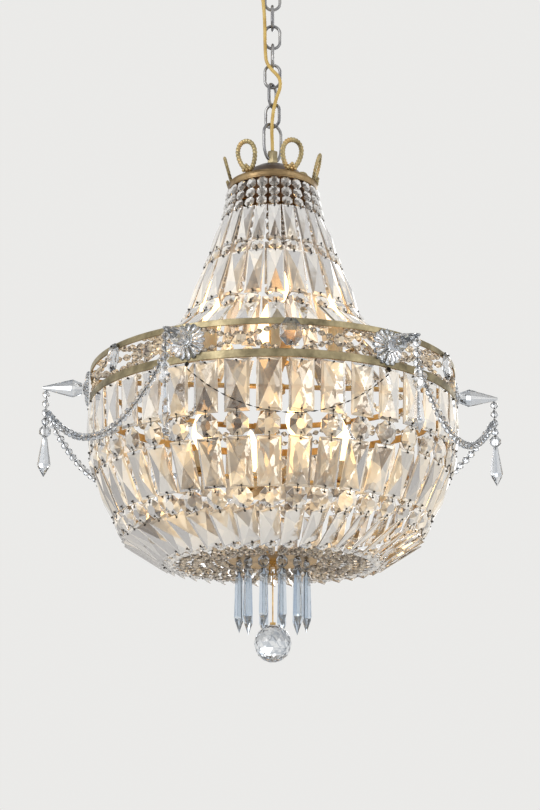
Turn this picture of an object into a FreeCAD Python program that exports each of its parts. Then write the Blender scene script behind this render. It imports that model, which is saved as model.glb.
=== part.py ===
import FreeCAD, Part
import math
import os

from FreeCAD import Matrix, Placement, Vector

# A crystal chandelier of the tent and basket kind, hung on a chain.
# Millimetres. The origin is the middle of the ceiling strap's upper face, +Z up, -Y is the front.
# Azimuths are in degrees from the front, positive towards +X.

# Clearances
seat = 0.3               # between a piece and what carries it
strand_gap = 0.5         # between two crystals of a strand, where the wire pin lies
thread_fit = 0.15        # between an outer and an inner thread, on the radius

# Ceiling strap, nipple and lock nut
strap_beyond_slot = 4.5
strap_width = 20.0
strap_thick = 3.0
slot_spacing = 86.0
slot_length = 15.0
slot_width = 5.0
strap_length = slot_spacing + slot_length + 2 * strap_beyond_slot
nipple_radius = 5.0
nipple_length = 42.0
tube_sides = 12          # of threaded tubes and of the crown loop's flange
nut_flats = 16.0
nut_thick = 5.0
hub_nut_flats = 13.0

# Flex
cord_radius = 2.5
cord_play = 0.4          # between the flex and a bore that it passes
cord_bend_share = 0.45   # of the shorter run beside a bend, taken up by the bend
cord_bend_steps = 4
cord_sides = 8

# Ceiling canopy, screw collar and ceiling loop
canopy_radius = 62.0
canopy_rim_high = 7.0
canopy_shoulder_radius = 55.0
canopy_shoulder_drop = 12.0
canopy_depth = 40.0
canopy_neck_radius = 18.0
sheet_thick = 1.2
spun_sides = 28          # of the canopy and the crown
loop_hub_radius = 12.0
loop_mouth_radius = 8.4    # wide end of the hub's bore, where the swinging flex enters
loop_hub_above = 12.0    # of the hub inside the canopy
loop_hub_below = 12.0    # of the hub under the canopy
collar_radius = 17.0
collar_high = 6.0
collar_sides = 16        # of the milled collar and of the loop's hub
ceiling_loop_inner_high = 24.0
ceiling_loop_inner_wide = 21.0

# Chain
wire_thick = 4.4         # across the flats of the chain's wire
link_inner_long = 30.8
link_inner_wide = 16.8
link_turns = [90.0, 0.0, 88.0, 4.0, 92.0, 0.0, 62.0, -27.0]

# Crown loop and crown
crown_loop_turn = 34.0
crown_loop_inner_high = 40.0
crown_loop_inner_wide = 24.4
crown_loop_foot = 12.0   # of its wire below the hub's top
crown_hub_flats = 13.0
crown_hub_high = 20.5
crown_flange_radius = 9.5
crown_flange_high = 3.0
crown_radius = 62.0
crown_rim_high = 11.0
crown_step_radius = 52.5
crown_shoulder_radius = 42.0
crown_shoulder_rise = 14.0
crown_dome_rise = 30.5   # of the dome's top above the rim's upper edge
crown_top_radius = 14.0
crown_dip = 1.0          # of the dome's top from its middle out to there

# Bows round the crown
bow_count = 6
bow_first = -35.0
bow_foot_radius = 55.3
bow_wide = 43.0
bow_high = 46.0
bow_band_wide = 7.0       # in the loop's own plane
bow_band_thick = 4.6
bow_lean = 15.0
bow_narrowing = 0.36      # of the loop from its top to its foot
knot_bead_size = 5.0
knot_bead_height = 3.6    # of the lowest beads' middles above the loop's foot
knot_rows = 3

# Heights under the crown loop and the frame of rings
loop_top_above_ring = 410.0      # inside top of the crown loop above the lower ring's middle
ring_radius = 243.0
ring_thick = 2.5
band_sides = 48
lower_ring_high = 10.4
upper_ring_high = 8.0
ring_spacing = 40.0              # between the middles of the two rings
spider_arms = 4
spider_first = 5.0
arm_wide = 13.0
arm_thick = 3.0
arm_below = 5.0                  # from the upper ring's lower edge down to the arms' upper face
spider_hub_radius = 17.0
spider_hub_high = 10.0
arm_hub_sides = 16
post_wide = 10.0
post_thick = 2.0

# Stem
stem_radius = 5.0
stem_bore_radius = 3.2
stem_below_ring = 112.0

# Lamps
lamp_count = 4
upper_lamp_radius = 85.0
lower_lamp_radius = 97.0
lower_lamp_first = -162.0
lower_arm_below = 97.0           # upper face of the lower arms under the lower ring's middle
lower_hub_radius = 15.0
lower_hub_above = 3.0            # of the hub over its arms
lower_hub_below = 3.0
cup_radius = 17.0
cup_high = 5.0
sleeve_radius = 11.5
upper_sleeve_long = 78.0
lower_sleeve_long = 24.0
cup_foot_radius = 8.6
bulb_radius = 16.0
bulb_long = 62.0
lamp_sides = 6

# Rosettes, their studs and the spikes
rosette_count = 6
rosette_first = -25.0
rosette_radius = 24.0
rosette_valley_radius = 20.0
rosette_boss_radius = 8.0
rosette_thick = 9.0
petals = 12
stud_radius = 2.0                # of the rosette's stud
stud_sides = 6
spike_long = 52.0
spike_base_radius = 7.0
spike_radius = 12.0
spike_tip_radius = 1.8
spike_belly = 13.0               # from the spike's base to its widest place

# Strands of the basket
basket_strands = 39
basket_first = -1.1
shoulder_point = (16.0, 112.0)   # in from the ring's radius, and depth under the lower ring's middle
turn_point = (46.0, 171.0)
corner_point = (62.0, 194.0)
floor_point = (93.0, 208.5)
sag_point = (143.0, 212.0)
hub_radius = 58.0
hub_depth = 205.0
hub_thick = 2.0
hub_sides = 24
row_a_long, row_a_wide, row_a_thick = 66.0, 31.0, 10.0
row_b_long, row_b_wide, row_b_thick = 28.0, 27.0, 11.0
row_c_long, row_c_wide, row_c_thick = 62.0, 29.5, 10.0
row_d_long, row_d_wide, row_d_thick = 25.0, 24.5, 10.0
row_e_long, row_e_wide, row_e_thick = 62.0, 28.0, 8.0
row_e_roll = 25.0
row_e_ease = 0.8                 # left free at each end of a rolled bar
row_f_long, row_f_wide, row_f_thick = 16.0, 14.5, 8.0
end_bead_rows = 2
end_bead_wide = 8.4

# Strands of the tent
tent_strands = 24
tent_first = 2.0
tent_top_in = 1.5                # of the strands' first middle line from the crown's rim
tent_neck_point = (0.053, 0.188) # shares of the way out and of the way down to the upper ring
tent_waist_point = (0.170, 0.416)
tent_skirt_point = (0.343, 0.734)
tent_hem_point = (0.510, 0.865)
tent_foot_point = (0.721, 0.944)
collar_rows = 3
collar_long, collar_wide, collar_thick = 14.2, 14.0, 9.0
tent_a_long, tent_a_wide, tent_a_thick = 60.0, 17.0, 9.0
tent_b_long, tent_b_wide, tent_b_thick = 16.0, 16.0, 9.0
tent_c_long, tent_c_wide, tent_c_thick = 72.0, 23.0, 10.0
tent_d_long, tent_d_wide, tent_d_thick = 20.0, 20.0, 9.0
tent_e_long, tent_e_wide, tent_e_thick = 62.0, 22.0, 9.0
tent_bead_rows = 2
tent_bead_long = 35.4
tent_bead_wide = 9.0

# Strings of beads between the rings
panel_octagon_long, panel_octagon_wide, panel_octagon_thick = 35.0, 27.0, 10.0
panel_octagon_drop = 1.0         # of its top under the upper ring's upper edge
cross_octagon_long, cross_octagon_thick = 17.0, 8.0
lattice_bead_count = 2
lattice_bead_wide = 7.4
lattice_from_rosette = 3.4       # degrees
lattice_from_panel = 3.0

# Icicles and the ball
icicle_count = 12
icicle_circle = 45.0
icicle_octagon_long, icicle_octagon_thick = 15.0, 9.0
icicle_long = 76.0
icicle_radius = 6.2
icicle_point = 17.0
eye_inner_long = 8.0
eye_inner_wide = 6.0
eye_wire = 2.0
ball_depth = 314.0               # of the ball's middle under the lower ring's middle
ball_radius = 24.5
ball_sides = 10
ball_cap_radius = 4.0
ball_cap_high = 3.0
hub_rod_in_stem = 12.0
hub_rod_below = 8.0              # of the hub plate

# Pendants under the spikes
tip_beads = 3
tip_bead_long = 12.0
tip_bead_wide = 10.4
pendant_bead_long = 11.0
pendant_octagon_long, pendant_octagon_thick = 15.0, 8.0
drop_long, drop_wide, drop_thick = 53.0, 20.0, 12.0
drop_belly = 37.0
pendant_turns = [0.0, 0.0, 90.0, 0.0, 0.0, 90.0]  # about the vertical, from flat along the circle

# Festoons
tip_in = 5.0                     # from a spike's tip in to where its beads hang
festoon_sag = 62.0
festoon_bead_count = 26
festoon_bead_wide = 10.2
pin_chain_out = 4.6              # of the pin chain's middle line from the ring's outside
pin_chain_sag = 62.0
pin_chain_count = 26
pin_wide = 2.0
rosette_bead_long, rosette_bead_wide = 9.0, 7.0


def outward(azimuth):
    """Unit vector from the axis outwards at an azimuth."""
    angle = math.radians(azimuth)
    return Vector(math.sin(angle), -math.cos(angle), 0)


def sideways(azimuth):
    """Unit vector along the circle at an azimuth."""
    angle = math.radians(azimuth)
    return Vector(math.cos(angle), math.sin(angle), 0)


def at(radius, azimuth, height):
    """Point given by radius, azimuth and height above the lower ring's middle."""
    return outward(azimuth) * radius + Vector(0, 0, ring_z + height)


def columns(across, along, origin):
    """Placement that turns X to `across` and Z to `along`, and moves to `origin`."""
    along = Vector(along).normalize()
    across = Vector(across) - along * along.dot(Vector(across))
    across.normalize()
    deep = along.cross(across)
    return Placement(Matrix(across.x, deep.x, along.x, origin.x,
                            across.y, deep.y, along.y, origin.y,
                            across.z, deep.z, along.z, origin.z,
                            0, 0, 0, 1))


def placed(shape, placement):
    """Copy of a shape at a placement."""
    copy = shape.copy()
    copy.Placement = placement.multiply(copy.Placement)
    return copy


def spanned(shape, top, bottom, across, roll=0.0):
    """Copy of a centred crystal with its length from `bottom` to `top`, turned about it by `roll`."""
    along = top - bottom
    placement = columns(across, along, (top + bottom) * 0.5)
    turn = Placement(Vector(0, 0, 0), FreeCAD.Rotation(Vector(0, 0, 1), roll))
    return placed(shape, placement.multiply(turn))


def from_faces(points, faces):
    """Closed solid from corner points and the faces that join them."""
    sides = []
    for face in faces:
        corners = [points[index] for index in face]
        sides.append(Part.Face(Part.makePolygon(corners + corners[:1])))
    solid = Part.Solid(Part.Shell(sides))
    if solid.Volume < 0:
        solid.reverse()
    return solid


def stacked(rings):
    """Solid through equal-sided rings of points, from the first ring up to the last.

    A ring with one point is a sharp tip.
    """
    points = []
    starts = []
    for ring in rings:
        starts.append(len(points))
        points += ring
    faces = []
    for low, high, low_start, high_start in zip(rings, rings[1:], starts, starts[1:]):
        sides = max(len(low), len(high))
        for side in range(sides):
            after = (side + 1) % sides
            face = [low_start + side, low_start + after, high_start + after, high_start + side]
            if len(low) == 1:
                face = [low_start, high_start + after, high_start + side]
            if len(high) == 1:
                face = [low_start + side, low_start + after, high_start]
            faces.append(face)
    if len(rings[0]) > 1:
        faces.append([starts[0] + side for side in reversed(range(len(rings[0])))])
    if len(rings[-1]) > 1:
        faces.append([starts[-1] + side for side in range(len(rings[-1]))])
    return from_faces(points, faces)


def ring_of(sides, radius, height, depth=None, turn=0.5):
    """Points round a circle or ellipse, with a flat to the front when turn is a half step."""
    deep = radius if depth is None else depth
    angles = [2 * math.pi * (side + turn) / sides for side in range(sides)]
    return [Vector(radius * math.cos(a), deep * math.sin(a), height) for a in angles]


def prism(sides, radius, low, high):
    """Upright prism."""
    return stacked([ring_of(sides, radius, low), ring_of(sides, radius, high)])


def turned(outline, sides):
    """Many-sided turned piece about Z from a closed outline of radius and height pairs."""
    rings = [ring_of(sides, radius, height) for radius, height in outline]
    return closed_tube(rings)


def closed_tube(rings):
    """Solid whose skin joins each ring of points to the next, and the last to the first."""
    points = [point for ring in rings for point in ring]
    sides = len(rings[0])
    faces = []
    for index in range(len(rings)):
        after = (index + 1) % len(rings)
        for side in range(sides):
            beside = (side + 1) % sides
            faces.append([index * sides + side, index * sides + beside,
                          after * sides + beside, after * sides + side])
    return from_faces(points, faces)


def bore(radius, low, high, sides=12):
    """Many-sided cutter that leaves a hole at least as wide as a circle of `radius`."""
    return prism(sides, radius / math.cos(math.pi / sides), low, high)


def cut_bar(long, wide, thick):
    """Rectangular crystal with four facets that meet in the middle of each face."""
    half, side, peak = long / 2, wide / 2, thick / 2
    points = [Vector(-side, 0, -half), Vector(side, 0, -half), Vector(side, 0, half), Vector(-side, 0, half),
              Vector(0, -peak, 0), Vector(0, peak, 0)]
    faces = []
    for corner in range(4):
        after = (corner + 1) % 4
        faces.append([corner, after, 4])
        faces.append([corner, after, 5])
    return from_faces(points, faces)


def cut_disc(sides, long, wide, thick):
    """Flat round crystal with `sides` edges and a facet on each, coming to a low peak on both faces."""
    angles = [2 * math.pi * (side + 0.5) / sides for side in range(sides)]
    widest = max(math.sin(angle) for angle in angles)
    highest = max(math.cos(angle) for angle in angles)
    rim = [Vector(wide / 2 * math.sin(angle) / widest, 0, long / 2 * math.cos(angle) / highest)
           for angle in angles]
    points = rim + [Vector(0, -thick / 2, 0), Vector(0, thick / 2, 0)]
    faces = []
    for side in range(sides):
        after = (side + 1) % sides
        faces.append([side, after, sides])
        faces.append([side, after, sides + 1])
    return from_faces(points, faces)


def cut_bead(long, wide):
    """Four-sided bead with a point at each end."""
    return stacked([[Vector(0, 0, -long / 2)], ring_of(4, wide / 2, 0.0, turn=0.0), [Vector(0, 0, long / 2)]])


def wire_loop(path, thick, closed=True, band=None):
    """Wire of six-sided or flat section along straight runs in the XZ plane, mitred at each corner."""
    half = thick / 2
    if band is None:
        reach = half / math.cos(math.pi / 6)
        section = [(half, reach / 2), (half, -reach / 2), (0.0, -reach),
                   (-half, -reach / 2), (-half, reach / 2), (0.0, reach)]
    else:
        section = [(half, band / 2), (half, -band / 2), (-half, -band / 2), (-half, band / 2)]
    count = len(path)
    rings = []
    for index, point in enumerate(path):
        before = point - path[index - 1]
        after = path[(index + 1) % count] - point
        if not closed and index == 0:
            before = after
        if not closed and index == count - 1:
            after = before
        before = Vector(before).normalize()
        after = Vector(after).normalize()
        side = Vector(before.z, 0, -before.x) + Vector(after.z, 0, -after.x)
        side.normalize()
        stretch = side.dot(Vector(after.z, 0, -after.x))
        rings.append([point + side * (out / stretch) + Vector(0, deep, 0) for out, deep in section])
    if not closed:
        return stacked(rings)
    return closed_tube(rings)


def oval_path(inner_wide, inner_high, thick, steps=4):
    """Middle line of a link: two straight sides and an end of `steps` runs at the top and the bottom."""
    radius = (inner_wide + thick) / 2
    rise = (inner_high + thick) / 2 - radius
    corner = radius / math.cos(math.pi / 2 / steps)
    points = []
    for end in (1, -1):
        for step in range(steps):
            angle = math.pi * (step + 0.5) / steps
            points.append(Vector(end * corner * math.cos(angle), 0, end * (rise + corner * math.sin(angle))))
    return points


def line_reach(line):
    """Distance of each point of a line from its start, along the line."""
    reach = [0.0]
    for before, after in zip(line, line[1:]):
        reach.append(reach[-1] + before.distanceToPoint(after))
    return reach


def laid_along(line, lengths, bead_count=0):
    """Start and end of each crystal on a line through many close points.

    The given lengths come one after another with the strand gap after each, and equal beads fill
    what is left of the line.
    """
    reach = line_reach(line)
    left = reach[-1] - sum(lengths) - strand_gap * len(lengths)
    beads = [left / bead_count - strand_gap for _ in range(bead_count)]

    def point_at(distance):
        index = 1
        while index < len(line) - 1 and reach[index] < distance:
            index += 1
        share = (distance - reach[index - 1]) / (reach[index] - reach[index - 1])
        return line[index - 1] + (line[index] - line[index - 1]) * min(share, 1.0)

    spans = []
    start = 0.0
    for length in lengths + beads:
        spans.append((point_at(start), point_at(start + length)))
        start += length + strand_gap
    return spans


def smooth(points, steps=400):
    """Many close points on a smooth curve through points of radius and height."""
    curve = Part.BSplineCurve()
    curve.interpolate([Vector(radius, 0, height) for radius, height in points])
    low, high = curve.FirstParameter, curve.LastParameter
    return [curve.value(low + (high - low) * step / steps) for step in range(steps + 1)]


def ranged(crystal, span, count, first, roll=0.0):
    """One row of crystals: the same crystal round the axis at a place along the strands."""
    top, bottom = span
    row = []
    for index in range(count):
        azimuth = first + 360.0 * index / count
        row.append(spanned(crystal, at(top.x, azimuth, top.z), at(bottom.x, azimuth, bottom.z),
                           sideways(azimuth), roll))
    return row


def save(name, solids):
    """Write one node: a solid, or several in a group."""
    shape = solids if isinstance(solids, Part.Shape) else Part.makeCompound(solids)
    shape.exportStep("parts/" + name + ".step")


# Heights from the ceiling down to the lower ring
loop_hub_top = -(canopy_depth - loop_hub_above)
loop_hub_bottom = -(canopy_depth + sheet_thick + loop_hub_below)
ceiling_loop_seat = loop_hub_bottom - ceiling_loop_inner_high
link_pitch = link_inner_long - seat
first_link_z = ceiling_loop_seat + seat - link_inner_long / 2
last_link_z = first_link_z - link_pitch * (len(link_turns) - 1)
crown_loop_seat = last_link_z - link_inner_long / 2 + seat
ring_z = crown_loop_seat - loop_top_above_ring


def ceiling_strap():
    """Flat strap with a slot at each end and a hole for the nipple."""
    strap = Part.makeBox(strap_length, strap_width, strap_thick,
                         Vector(-strap_length / 2, -strap_width / 2, -strap_thick))
    cuts = [bore(nipple_radius + thread_fit, -strap_thick, 0)]
    straight = slot_length - slot_width
    for side in (-1, 1):
        middle = side * slot_spacing / 2
        cuts.append(Part.makeBox(straight, slot_width, strap_thick,
                                 Vector(middle - straight / 2, -slot_width / 2, -strap_thick)))
        for end in (-1, 1):
            centre = Vector(middle + end * straight / 2, 0, -strap_thick)
            cuts.append(Part.makeCylinder(slot_width / 2, strap_thick, centre))
    return strap.cut(cuts).removeSplitter()


def nipple():
    """Threaded tube that joins the strap to the ceiling loop."""
    tube = prism(tube_sides, nipple_radius, -nipple_length, 0)
    return tube.cut(bore(cord_radius + cord_play, -nipple_length, 0))


def hex_nut(across, thick, bore_radius, top):
    """Hexagon nut under a given height."""
    block = prism(6, across / 2 / math.cos(math.pi / 6), top - thick, top)
    return block.cut(bore(bore_radius, top - thick, top))


def nipple_nut():
    """Lock nut that holds the nipple under the strap."""
    return hex_nut(nut_flats, nut_thick, nipple_radius + thread_fit, -strap_thick - seat)


def canopy():
    """Spun bell over the strap, open at the top and with a hole for the loop's hub."""
    hole = loop_hub_radius + seat
    outer = [(canopy_radius, -seat), (canopy_radius, -canopy_rim_high),
             (canopy_shoulder_radius, -canopy_shoulder_drop), (canopy_neck_radius, -canopy_depth),
             (canopy_neck_radius, -canopy_depth - sheet_thick), (hole, -canopy_depth - sheet_thick)]
    inner = [(hole, -canopy_depth), (canopy_neck_radius - sheet_thick, -canopy_depth + sheet_thick),
             (canopy_shoulder_radius - sheet_thick, -canopy_shoulder_drop + sheet_thick),
             (canopy_radius - sheet_thick, -canopy_rim_high + sheet_thick),
             (canopy_radius - sheet_thick, -seat)]
    return turned(outer + inner, spun_sides)


def screw_collar():
    """Milled ring that holds the canopy up."""
    top = -canopy_depth - sheet_thick - seat
    ring = prism(collar_sides, collar_radius, top - collar_high, top)
    return ring.cut(prism(collar_sides, loop_hub_radius + thread_fit, top - collar_high, top))


def stirrup(inner_high, inner_wide, hub_side, foot):
    """Loop of wire on both sides of a hub whose face is at height 0: its legs start `foot` lower."""
    radius = (inner_wide + wire_thick) / 2
    rise = inner_high + wire_thick / 2 - radius
    steps = 4
    corner = radius / math.cos(math.pi / 2 / steps)
    right = [Vector(hub_side, 0, -foot), Vector(radius, 0, wire_thick)]
    if foot > wire_thick:
        right.insert(1, Vector((hub_side + radius) / 2 + wire_thick / 4, 0, -foot / 2))
    path = list(right)
    for step in range(steps):
        angle = math.pi * (step + 0.5) / steps
        path.append(Vector(corner * math.cos(angle), 0, rise + corner * math.sin(angle)))
    path += [Vector(-point.x, 0, point.z) for point in reversed(right)]
    return wire_loop(path, wire_thick, closed=False)


def ceiling_loop():
    """Threaded hub with the loop that the chain hangs from."""
    hub = prism(collar_sides, loop_hub_radius, loop_hub_bottom, loop_hub_top)
    side = loop_hub_radius - wire_thick / 2
    loop = stirrup(ceiling_loop_inner_high, ceiling_loop_inner_wide, side, wire_thick / 2)
    loop.rotate(Vector(0, 0, 0), Vector(1, 0, 0), 180)
    loop.translate(Vector(0, 0, loop_hub_bottom))
    body = hub.fuse(loop)
    thread_low = -nipple_length - seat
    mouth_high = (thread_low - loop_hub_bottom) / 2
    body = body.cut(bore(nipple_radius + thread_fit, thread_low, loop_hub_top))
    body = body.cut(bore(cord_radius + cord_play, loop_hub_bottom, thread_low))
    return body.cut(bore(loop_mouth_radius, loop_hub_bottom, loop_hub_bottom + mouth_high))


def chain_links():
    """The links from the top down, each turned about the chain's axis."""
    link = wire_loop(oval_path(link_inner_wide, link_inner_long, wire_thick), wire_thick)
    links = []
    for index, turn in enumerate(link_turns):
        middle = Vector(0, 0, first_link_z - index * link_pitch)
        links.append(placed(link, Placement(middle, FreeCAD.Rotation(Vector(0, 0, 1), turn))))
    return links


def crown_loop():
    """Hexagon hub with a bore for the flex, and the loop that hangs in the last link."""
    height = loop_top_above_ring - crown_loop_inner_high
    hub = prism(6, crown_hub_flats / 2 / math.cos(math.pi / 6), -crown_hub_high, 0)
    foot = prism(tube_sides, crown_flange_radius, -crown_hub_high, crown_flange_high - crown_hub_high)
    hub = hub.fuse(foot)
    side = crown_hub_flats / 2 - wire_thick / 4
    loop = stirrup(crown_loop_inner_high, crown_loop_inner_wide, side, crown_loop_foot)
    body = hub.fuse(loop)
    body = body.cut([bore(cord_radius + cord_play, -crown_hub_high, 0),
                     bore(stem_radius + thread_fit, -crown_hub_high, -crown_hub_high / 2)])
    turn = FreeCAD.Rotation(Vector(0, 0, 1), crown_loop_turn)
    return placed(body, Placement(Vector(0, 0, ring_z + height), turn))


# Heights of the crown, above the lower ring's middle
hub_low = loop_top_above_ring - crown_loop_inner_high - crown_hub_high
dome_top = hub_low - seat
rim_top = dome_top - crown_dome_rise
rim_low = rim_top - crown_rim_high


def crown():
    """Spun crown: a low dome, a step and a deep rim, open below."""
    hole = stem_radius + seat
    outer = [(hole, dome_top), (crown_top_radius, dome_top - crown_dip),
             (crown_shoulder_radius, rim_top + crown_shoulder_rise), (crown_step_radius, rim_top),
             (crown_radius, rim_top), (crown_radius, rim_low)]
    inner = [(crown_radius - sheet_thick, rim_low), (crown_radius - sheet_thick, rim_top - sheet_thick),
             (crown_step_radius - sheet_thick, rim_top - sheet_thick),
             (crown_shoulder_radius - sheet_thick, rim_top + crown_shoulder_rise - sheet_thick),
             (crown_top_radius - sheet_thick, dome_top - crown_dip - sheet_thick),
             (hole, dome_top - crown_dip - sheet_thick)]
    return turned([(radius, ring_z + height) for radius, height in outer + inner], spun_sides)


def stem_nuts():
    """Nuts on the stem that hold the crown, the spider's hub and the lower arms."""
    tops = [dome_top - crown_dip - sheet_thick - seat, arm_top - spider_hub_high - seat,
            -lower_arm_below - arm_thick - lower_hub_below - seat]
    return [hex_nut(nut_flats, nut_thick, stem_radius + thread_fit, ring_z + top) for top in tops]


def bows():
    """Upright bow loops that stand on the rim and lean outwards."""
    path = []
    steps = 8
    half_wide = (bow_wide - bow_band_wide) / 2 / math.cos(math.pi / steps)
    half_high = (bow_high - bow_band_wide) / 2 / math.cos(math.pi / steps)
    for step in range(steps):
        angle = 2 * math.pi * (step + 0.5) / steps
        narrow = 1 - bow_narrowing * (1 - math.sin(angle)) / 2
        height = bow_high / 2 + half_high * math.sin(angle)
        path.append(Vector(half_wide * narrow * math.cos(angle), 0, height))
    return ranged_upright(wire_loop(path, bow_band_wide, band=bow_band_thick))


def ranged_upright(shape):
    """Six copies of a shape in a bow's own frame: its foot on the rim, leaning outwards."""
    tilt = math.radians(bow_lean)
    height = rim_top + seat + bow_band_thick / 2 * math.sin(tilt)
    copies = []
    for index in range(bow_count):
        azimuth = bow_first + 360.0 * index / bow_count
        along = Vector(0, 0, math.cos(tilt)) + outward(azimuth) * math.sin(tilt)
        foot = at(bow_foot_radius, azimuth, height)
        copies.append(placed(shape, columns(sideways(azimuth), along, foot)))
    return copies


def bow_knots():
    """Knot of cut beads in front of each bow's foot: rows of three, two and one, points between points."""
    pitch = knot_bead_size + seat
    front = bow_band_thick / 2 + seat + knot_bead_size / 2
    knots = []
    for row in range(knot_rows):
        height = knot_bead_height + row * (pitch / 2 + seat)
        for index in range(knot_rows - row):
            bead = cut_bead(knot_bead_size, knot_bead_size)
            bead.translate(Vector((index - (knot_rows - row - 1) / 2) * pitch, -front, height))
            knots += ranged_upright(bead)
    return knots


def band_ring(height, high):
    """Flat band bent to a circle."""
    low = ring_z + height - high / 2
    return prism(band_sides, ring_radius, low, low + high).cut(bore(ring_inner, low, low + high, band_sides))


ring_inner = ring_radius - ring_thick
upper_ring_low = ring_spacing - upper_ring_high / 2
upper_ring_top = ring_spacing + upper_ring_high / 2
arm_top = upper_ring_low - arm_below


def spider():
    """Hub on the stem with flat arms whose upturned ends are riveted inside the upper ring.

    An arm that comes to a ring post ends inside that post.
    """
    low = ring_z + arm_top - arm_thick
    hub_bottom = ring_z + arm_top - spider_hub_high
    body = prism(arm_hub_sides, spider_hub_radius, hub_bottom, ring_z + arm_top)
    panel = 360.0 / rosette_count
    for index in range(spider_arms):
        azimuth = spider_first + 360.0 * index / spider_arms
        past_post = (azimuth - rosette_first) % panel
        at_post = min(past_post, panel - past_post) * math.pi / 180 * ring_inner < (post_wide + arm_wide) / 2
        tip = ring_inner - seat - (post_thick + seat if at_post else 0.0)
        arm = Part.makeBox(arm_wide, tip, arm_thick, Vector(-arm_wide / 2, -tip, low))
        tab_high = ring_z + upper_ring_top - low
        tab = Part.makeBox(arm_wide, arm_thick, tab_high, Vector(-arm_wide / 2, -tip, low))
        arm = arm.fuse(tab)
        arm.rotate(Vector(0, 0, 0), Vector(0, 0, 1), azimuth)
        body = body.fuse(arm)
    return body.cut(bore(stem_radius + thread_fit, hub_bottom, ring_z + arm_top)).removeSplitter()


def posts():
    """Short straps that rivet the two rings together behind the rosettes."""
    low = -rosette_height - lower_ring_high / 2
    high = upper_ring_top - rosette_height
    post = Part.makeBox(post_wide, high - low, post_thick, Vector(-post_wide / 2, low, -post_thick))
    post = post.cut(prism(stud_sides, stud_radius + seat, -post_thick, 0))
    return ranged_radial(post, ring_inner - seat, rosette_height)


def stem():
    """Tube from the crown down to the lower lamps."""
    top = ring_z + hub_low + crown_hub_high / 2 - seat
    low = ring_z - stem_below_ring
    return prism(tube_sides, stem_radius, low, top).cut(bore(stem_bore_radius, low, top))


def lower_arms():
    """Hub at the stem's foot with an arm to each lower lamp."""
    top = ring_z - lower_arm_below
    hub_bottom = top - arm_thick - lower_hub_below
    body = prism(arm_hub_sides, lower_hub_radius, hub_bottom, top + lower_hub_above)
    for index in range(lamp_count):
        azimuth = lower_lamp_first + 360.0 * index / lamp_count
        arm = Part.makeBox(arm_wide, lower_lamp_radius + arm_wide / 2, arm_thick,
                           Vector(-arm_wide / 2, -lower_lamp_radius - arm_wide / 2, top - arm_thick))
        arm.rotate(Vector(0, 0, 0), Vector(0, 0, 1), azimuth)
        body = body.fuse(arm)
    return body.cut(bore(stem_radius + thread_fit, hub_bottom, top + lower_hub_above)).removeSplitter()


def lamp_places():
    """Foot of each lamp on the arms, with the length of its candle sleeve."""
    places = []
    for index in range(lamp_count):
        turn = 360.0 * index / lamp_count
        places.append((at(upper_lamp_radius, spider_first + turn, arm_top + seat), upper_sleeve_long))
        low_seat = at(lower_lamp_radius, lower_lamp_first + turn, -lower_arm_below + seat)
        places.append((low_seat, lower_sleeve_long))
    return places


def drip_cups():
    """Shallow cup under each candle."""
    cup = stacked([ring_of(lamp_sides, cup_foot_radius, 0), ring_of(lamp_sides, cup_radius, cup_high)])
    return [placed(cup, Placement(foot, FreeCAD.Rotation())) for foot, _ in lamp_places()]


def candles():
    """Lampholder in its candle sleeve, as one piece."""
    pieces = []
    for foot, length in lamp_places():
        low = cup_high + seat
        pieces.append(placed(prism(lamp_sides, sleeve_radius, low, low + length),
                             Placement(foot, FreeCAD.Rotation())))
    return pieces


def bulbs():
    """Candle bulb standing on each lampholder."""
    outline = [(0.55, 0.0), (1.0, 0.35), (0.78, 0.66), (0.3, 0.9)]
    rings = [ring_of(lamp_sides, bulb_radius * wide, bulb_long * high) for wide, high in outline]
    bulb = stacked(rings + [[Vector(0, 0, bulb_long)]])
    lamps = []
    for foot, length in lamp_places():
        top = foot + Vector(0, 0, cup_high + seat + length + seat)
        lamps.append(placed(bulb, Placement(top, FreeCAD.Rotation())))
    return lamps


rosette_back = ring_radius + seat
rosette_height = ring_spacing / 2
spike_back = rosette_back + rosette_thick + seat
tip_radius = spike_back + spike_long


def rosettes():
    """Pressed flower of twelve petals with the stud that holds it to the ring post."""
    points = []
    for petal in range(petals):
        for share, radius in ((0.0, rosette_radius), (0.5, rosette_valley_radius)):
            angle = 2 * math.pi * (petal + share) / petals
            points.append(Vector(radius * math.cos(angle), radius * math.sin(angle), 0))
    for petal in range(petals):
        angle = 2 * math.pi * petal / petals
        points.append(Vector(rosette_boss_radius * math.cos(angle), rosette_boss_radius * math.sin(angle),
                             rosette_thick))
    boss = 2 * petals
    faces = [list(range(2 * petals)), list(range(boss, boss + petals))]
    for petal in range(petals):
        after = (petal + 1) % petals
        tip, valley, next_tip = 2 * petal, 2 * petal + 1, 2 * after
        faces.append([tip, valley, boss + petal])
        faces.append([valley, boss + after, boss + petal])
        faces.append([valley, next_tip, boss + after])
    flower = from_faces(points, faces)
    shank = rosette_back - ring_inner + 2 * seat + post_thick
    stud = prism(stud_sides, stud_radius, -shank, rosette_thick / 2)
    head = prism(stud_sides, 2 * stud_radius, -shank - stud_radius, -shank)
    return ranged_radial(flower.fuse([stud, head]), rosette_back, rosette_height)


def ranged_radial(shape, radius, height):
    """Copies of a shape at the rosettes' azimuths, with its Z pointing outwards."""
    copies = []
    for index in range(rosette_count):
        azimuth = rosette_first + 360.0 * index / rosette_count
        seat_frame = columns(sideways(azimuth), outward(azimuth), at(radius, azimuth, height))
        copies.append(placed(shape, seat_frame))
    return copies


def spikes():
    """Eight-sided crystal spike, widest near its base."""
    spike = stacked([ring_of(8, spike_base_radius, 0), ring_of(8, spike_radius, spike_belly),
                     ring_of(8, spike_tip_radius, spike_long)])
    return ranged_radial(spike, spike_back, rosette_height)


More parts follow.
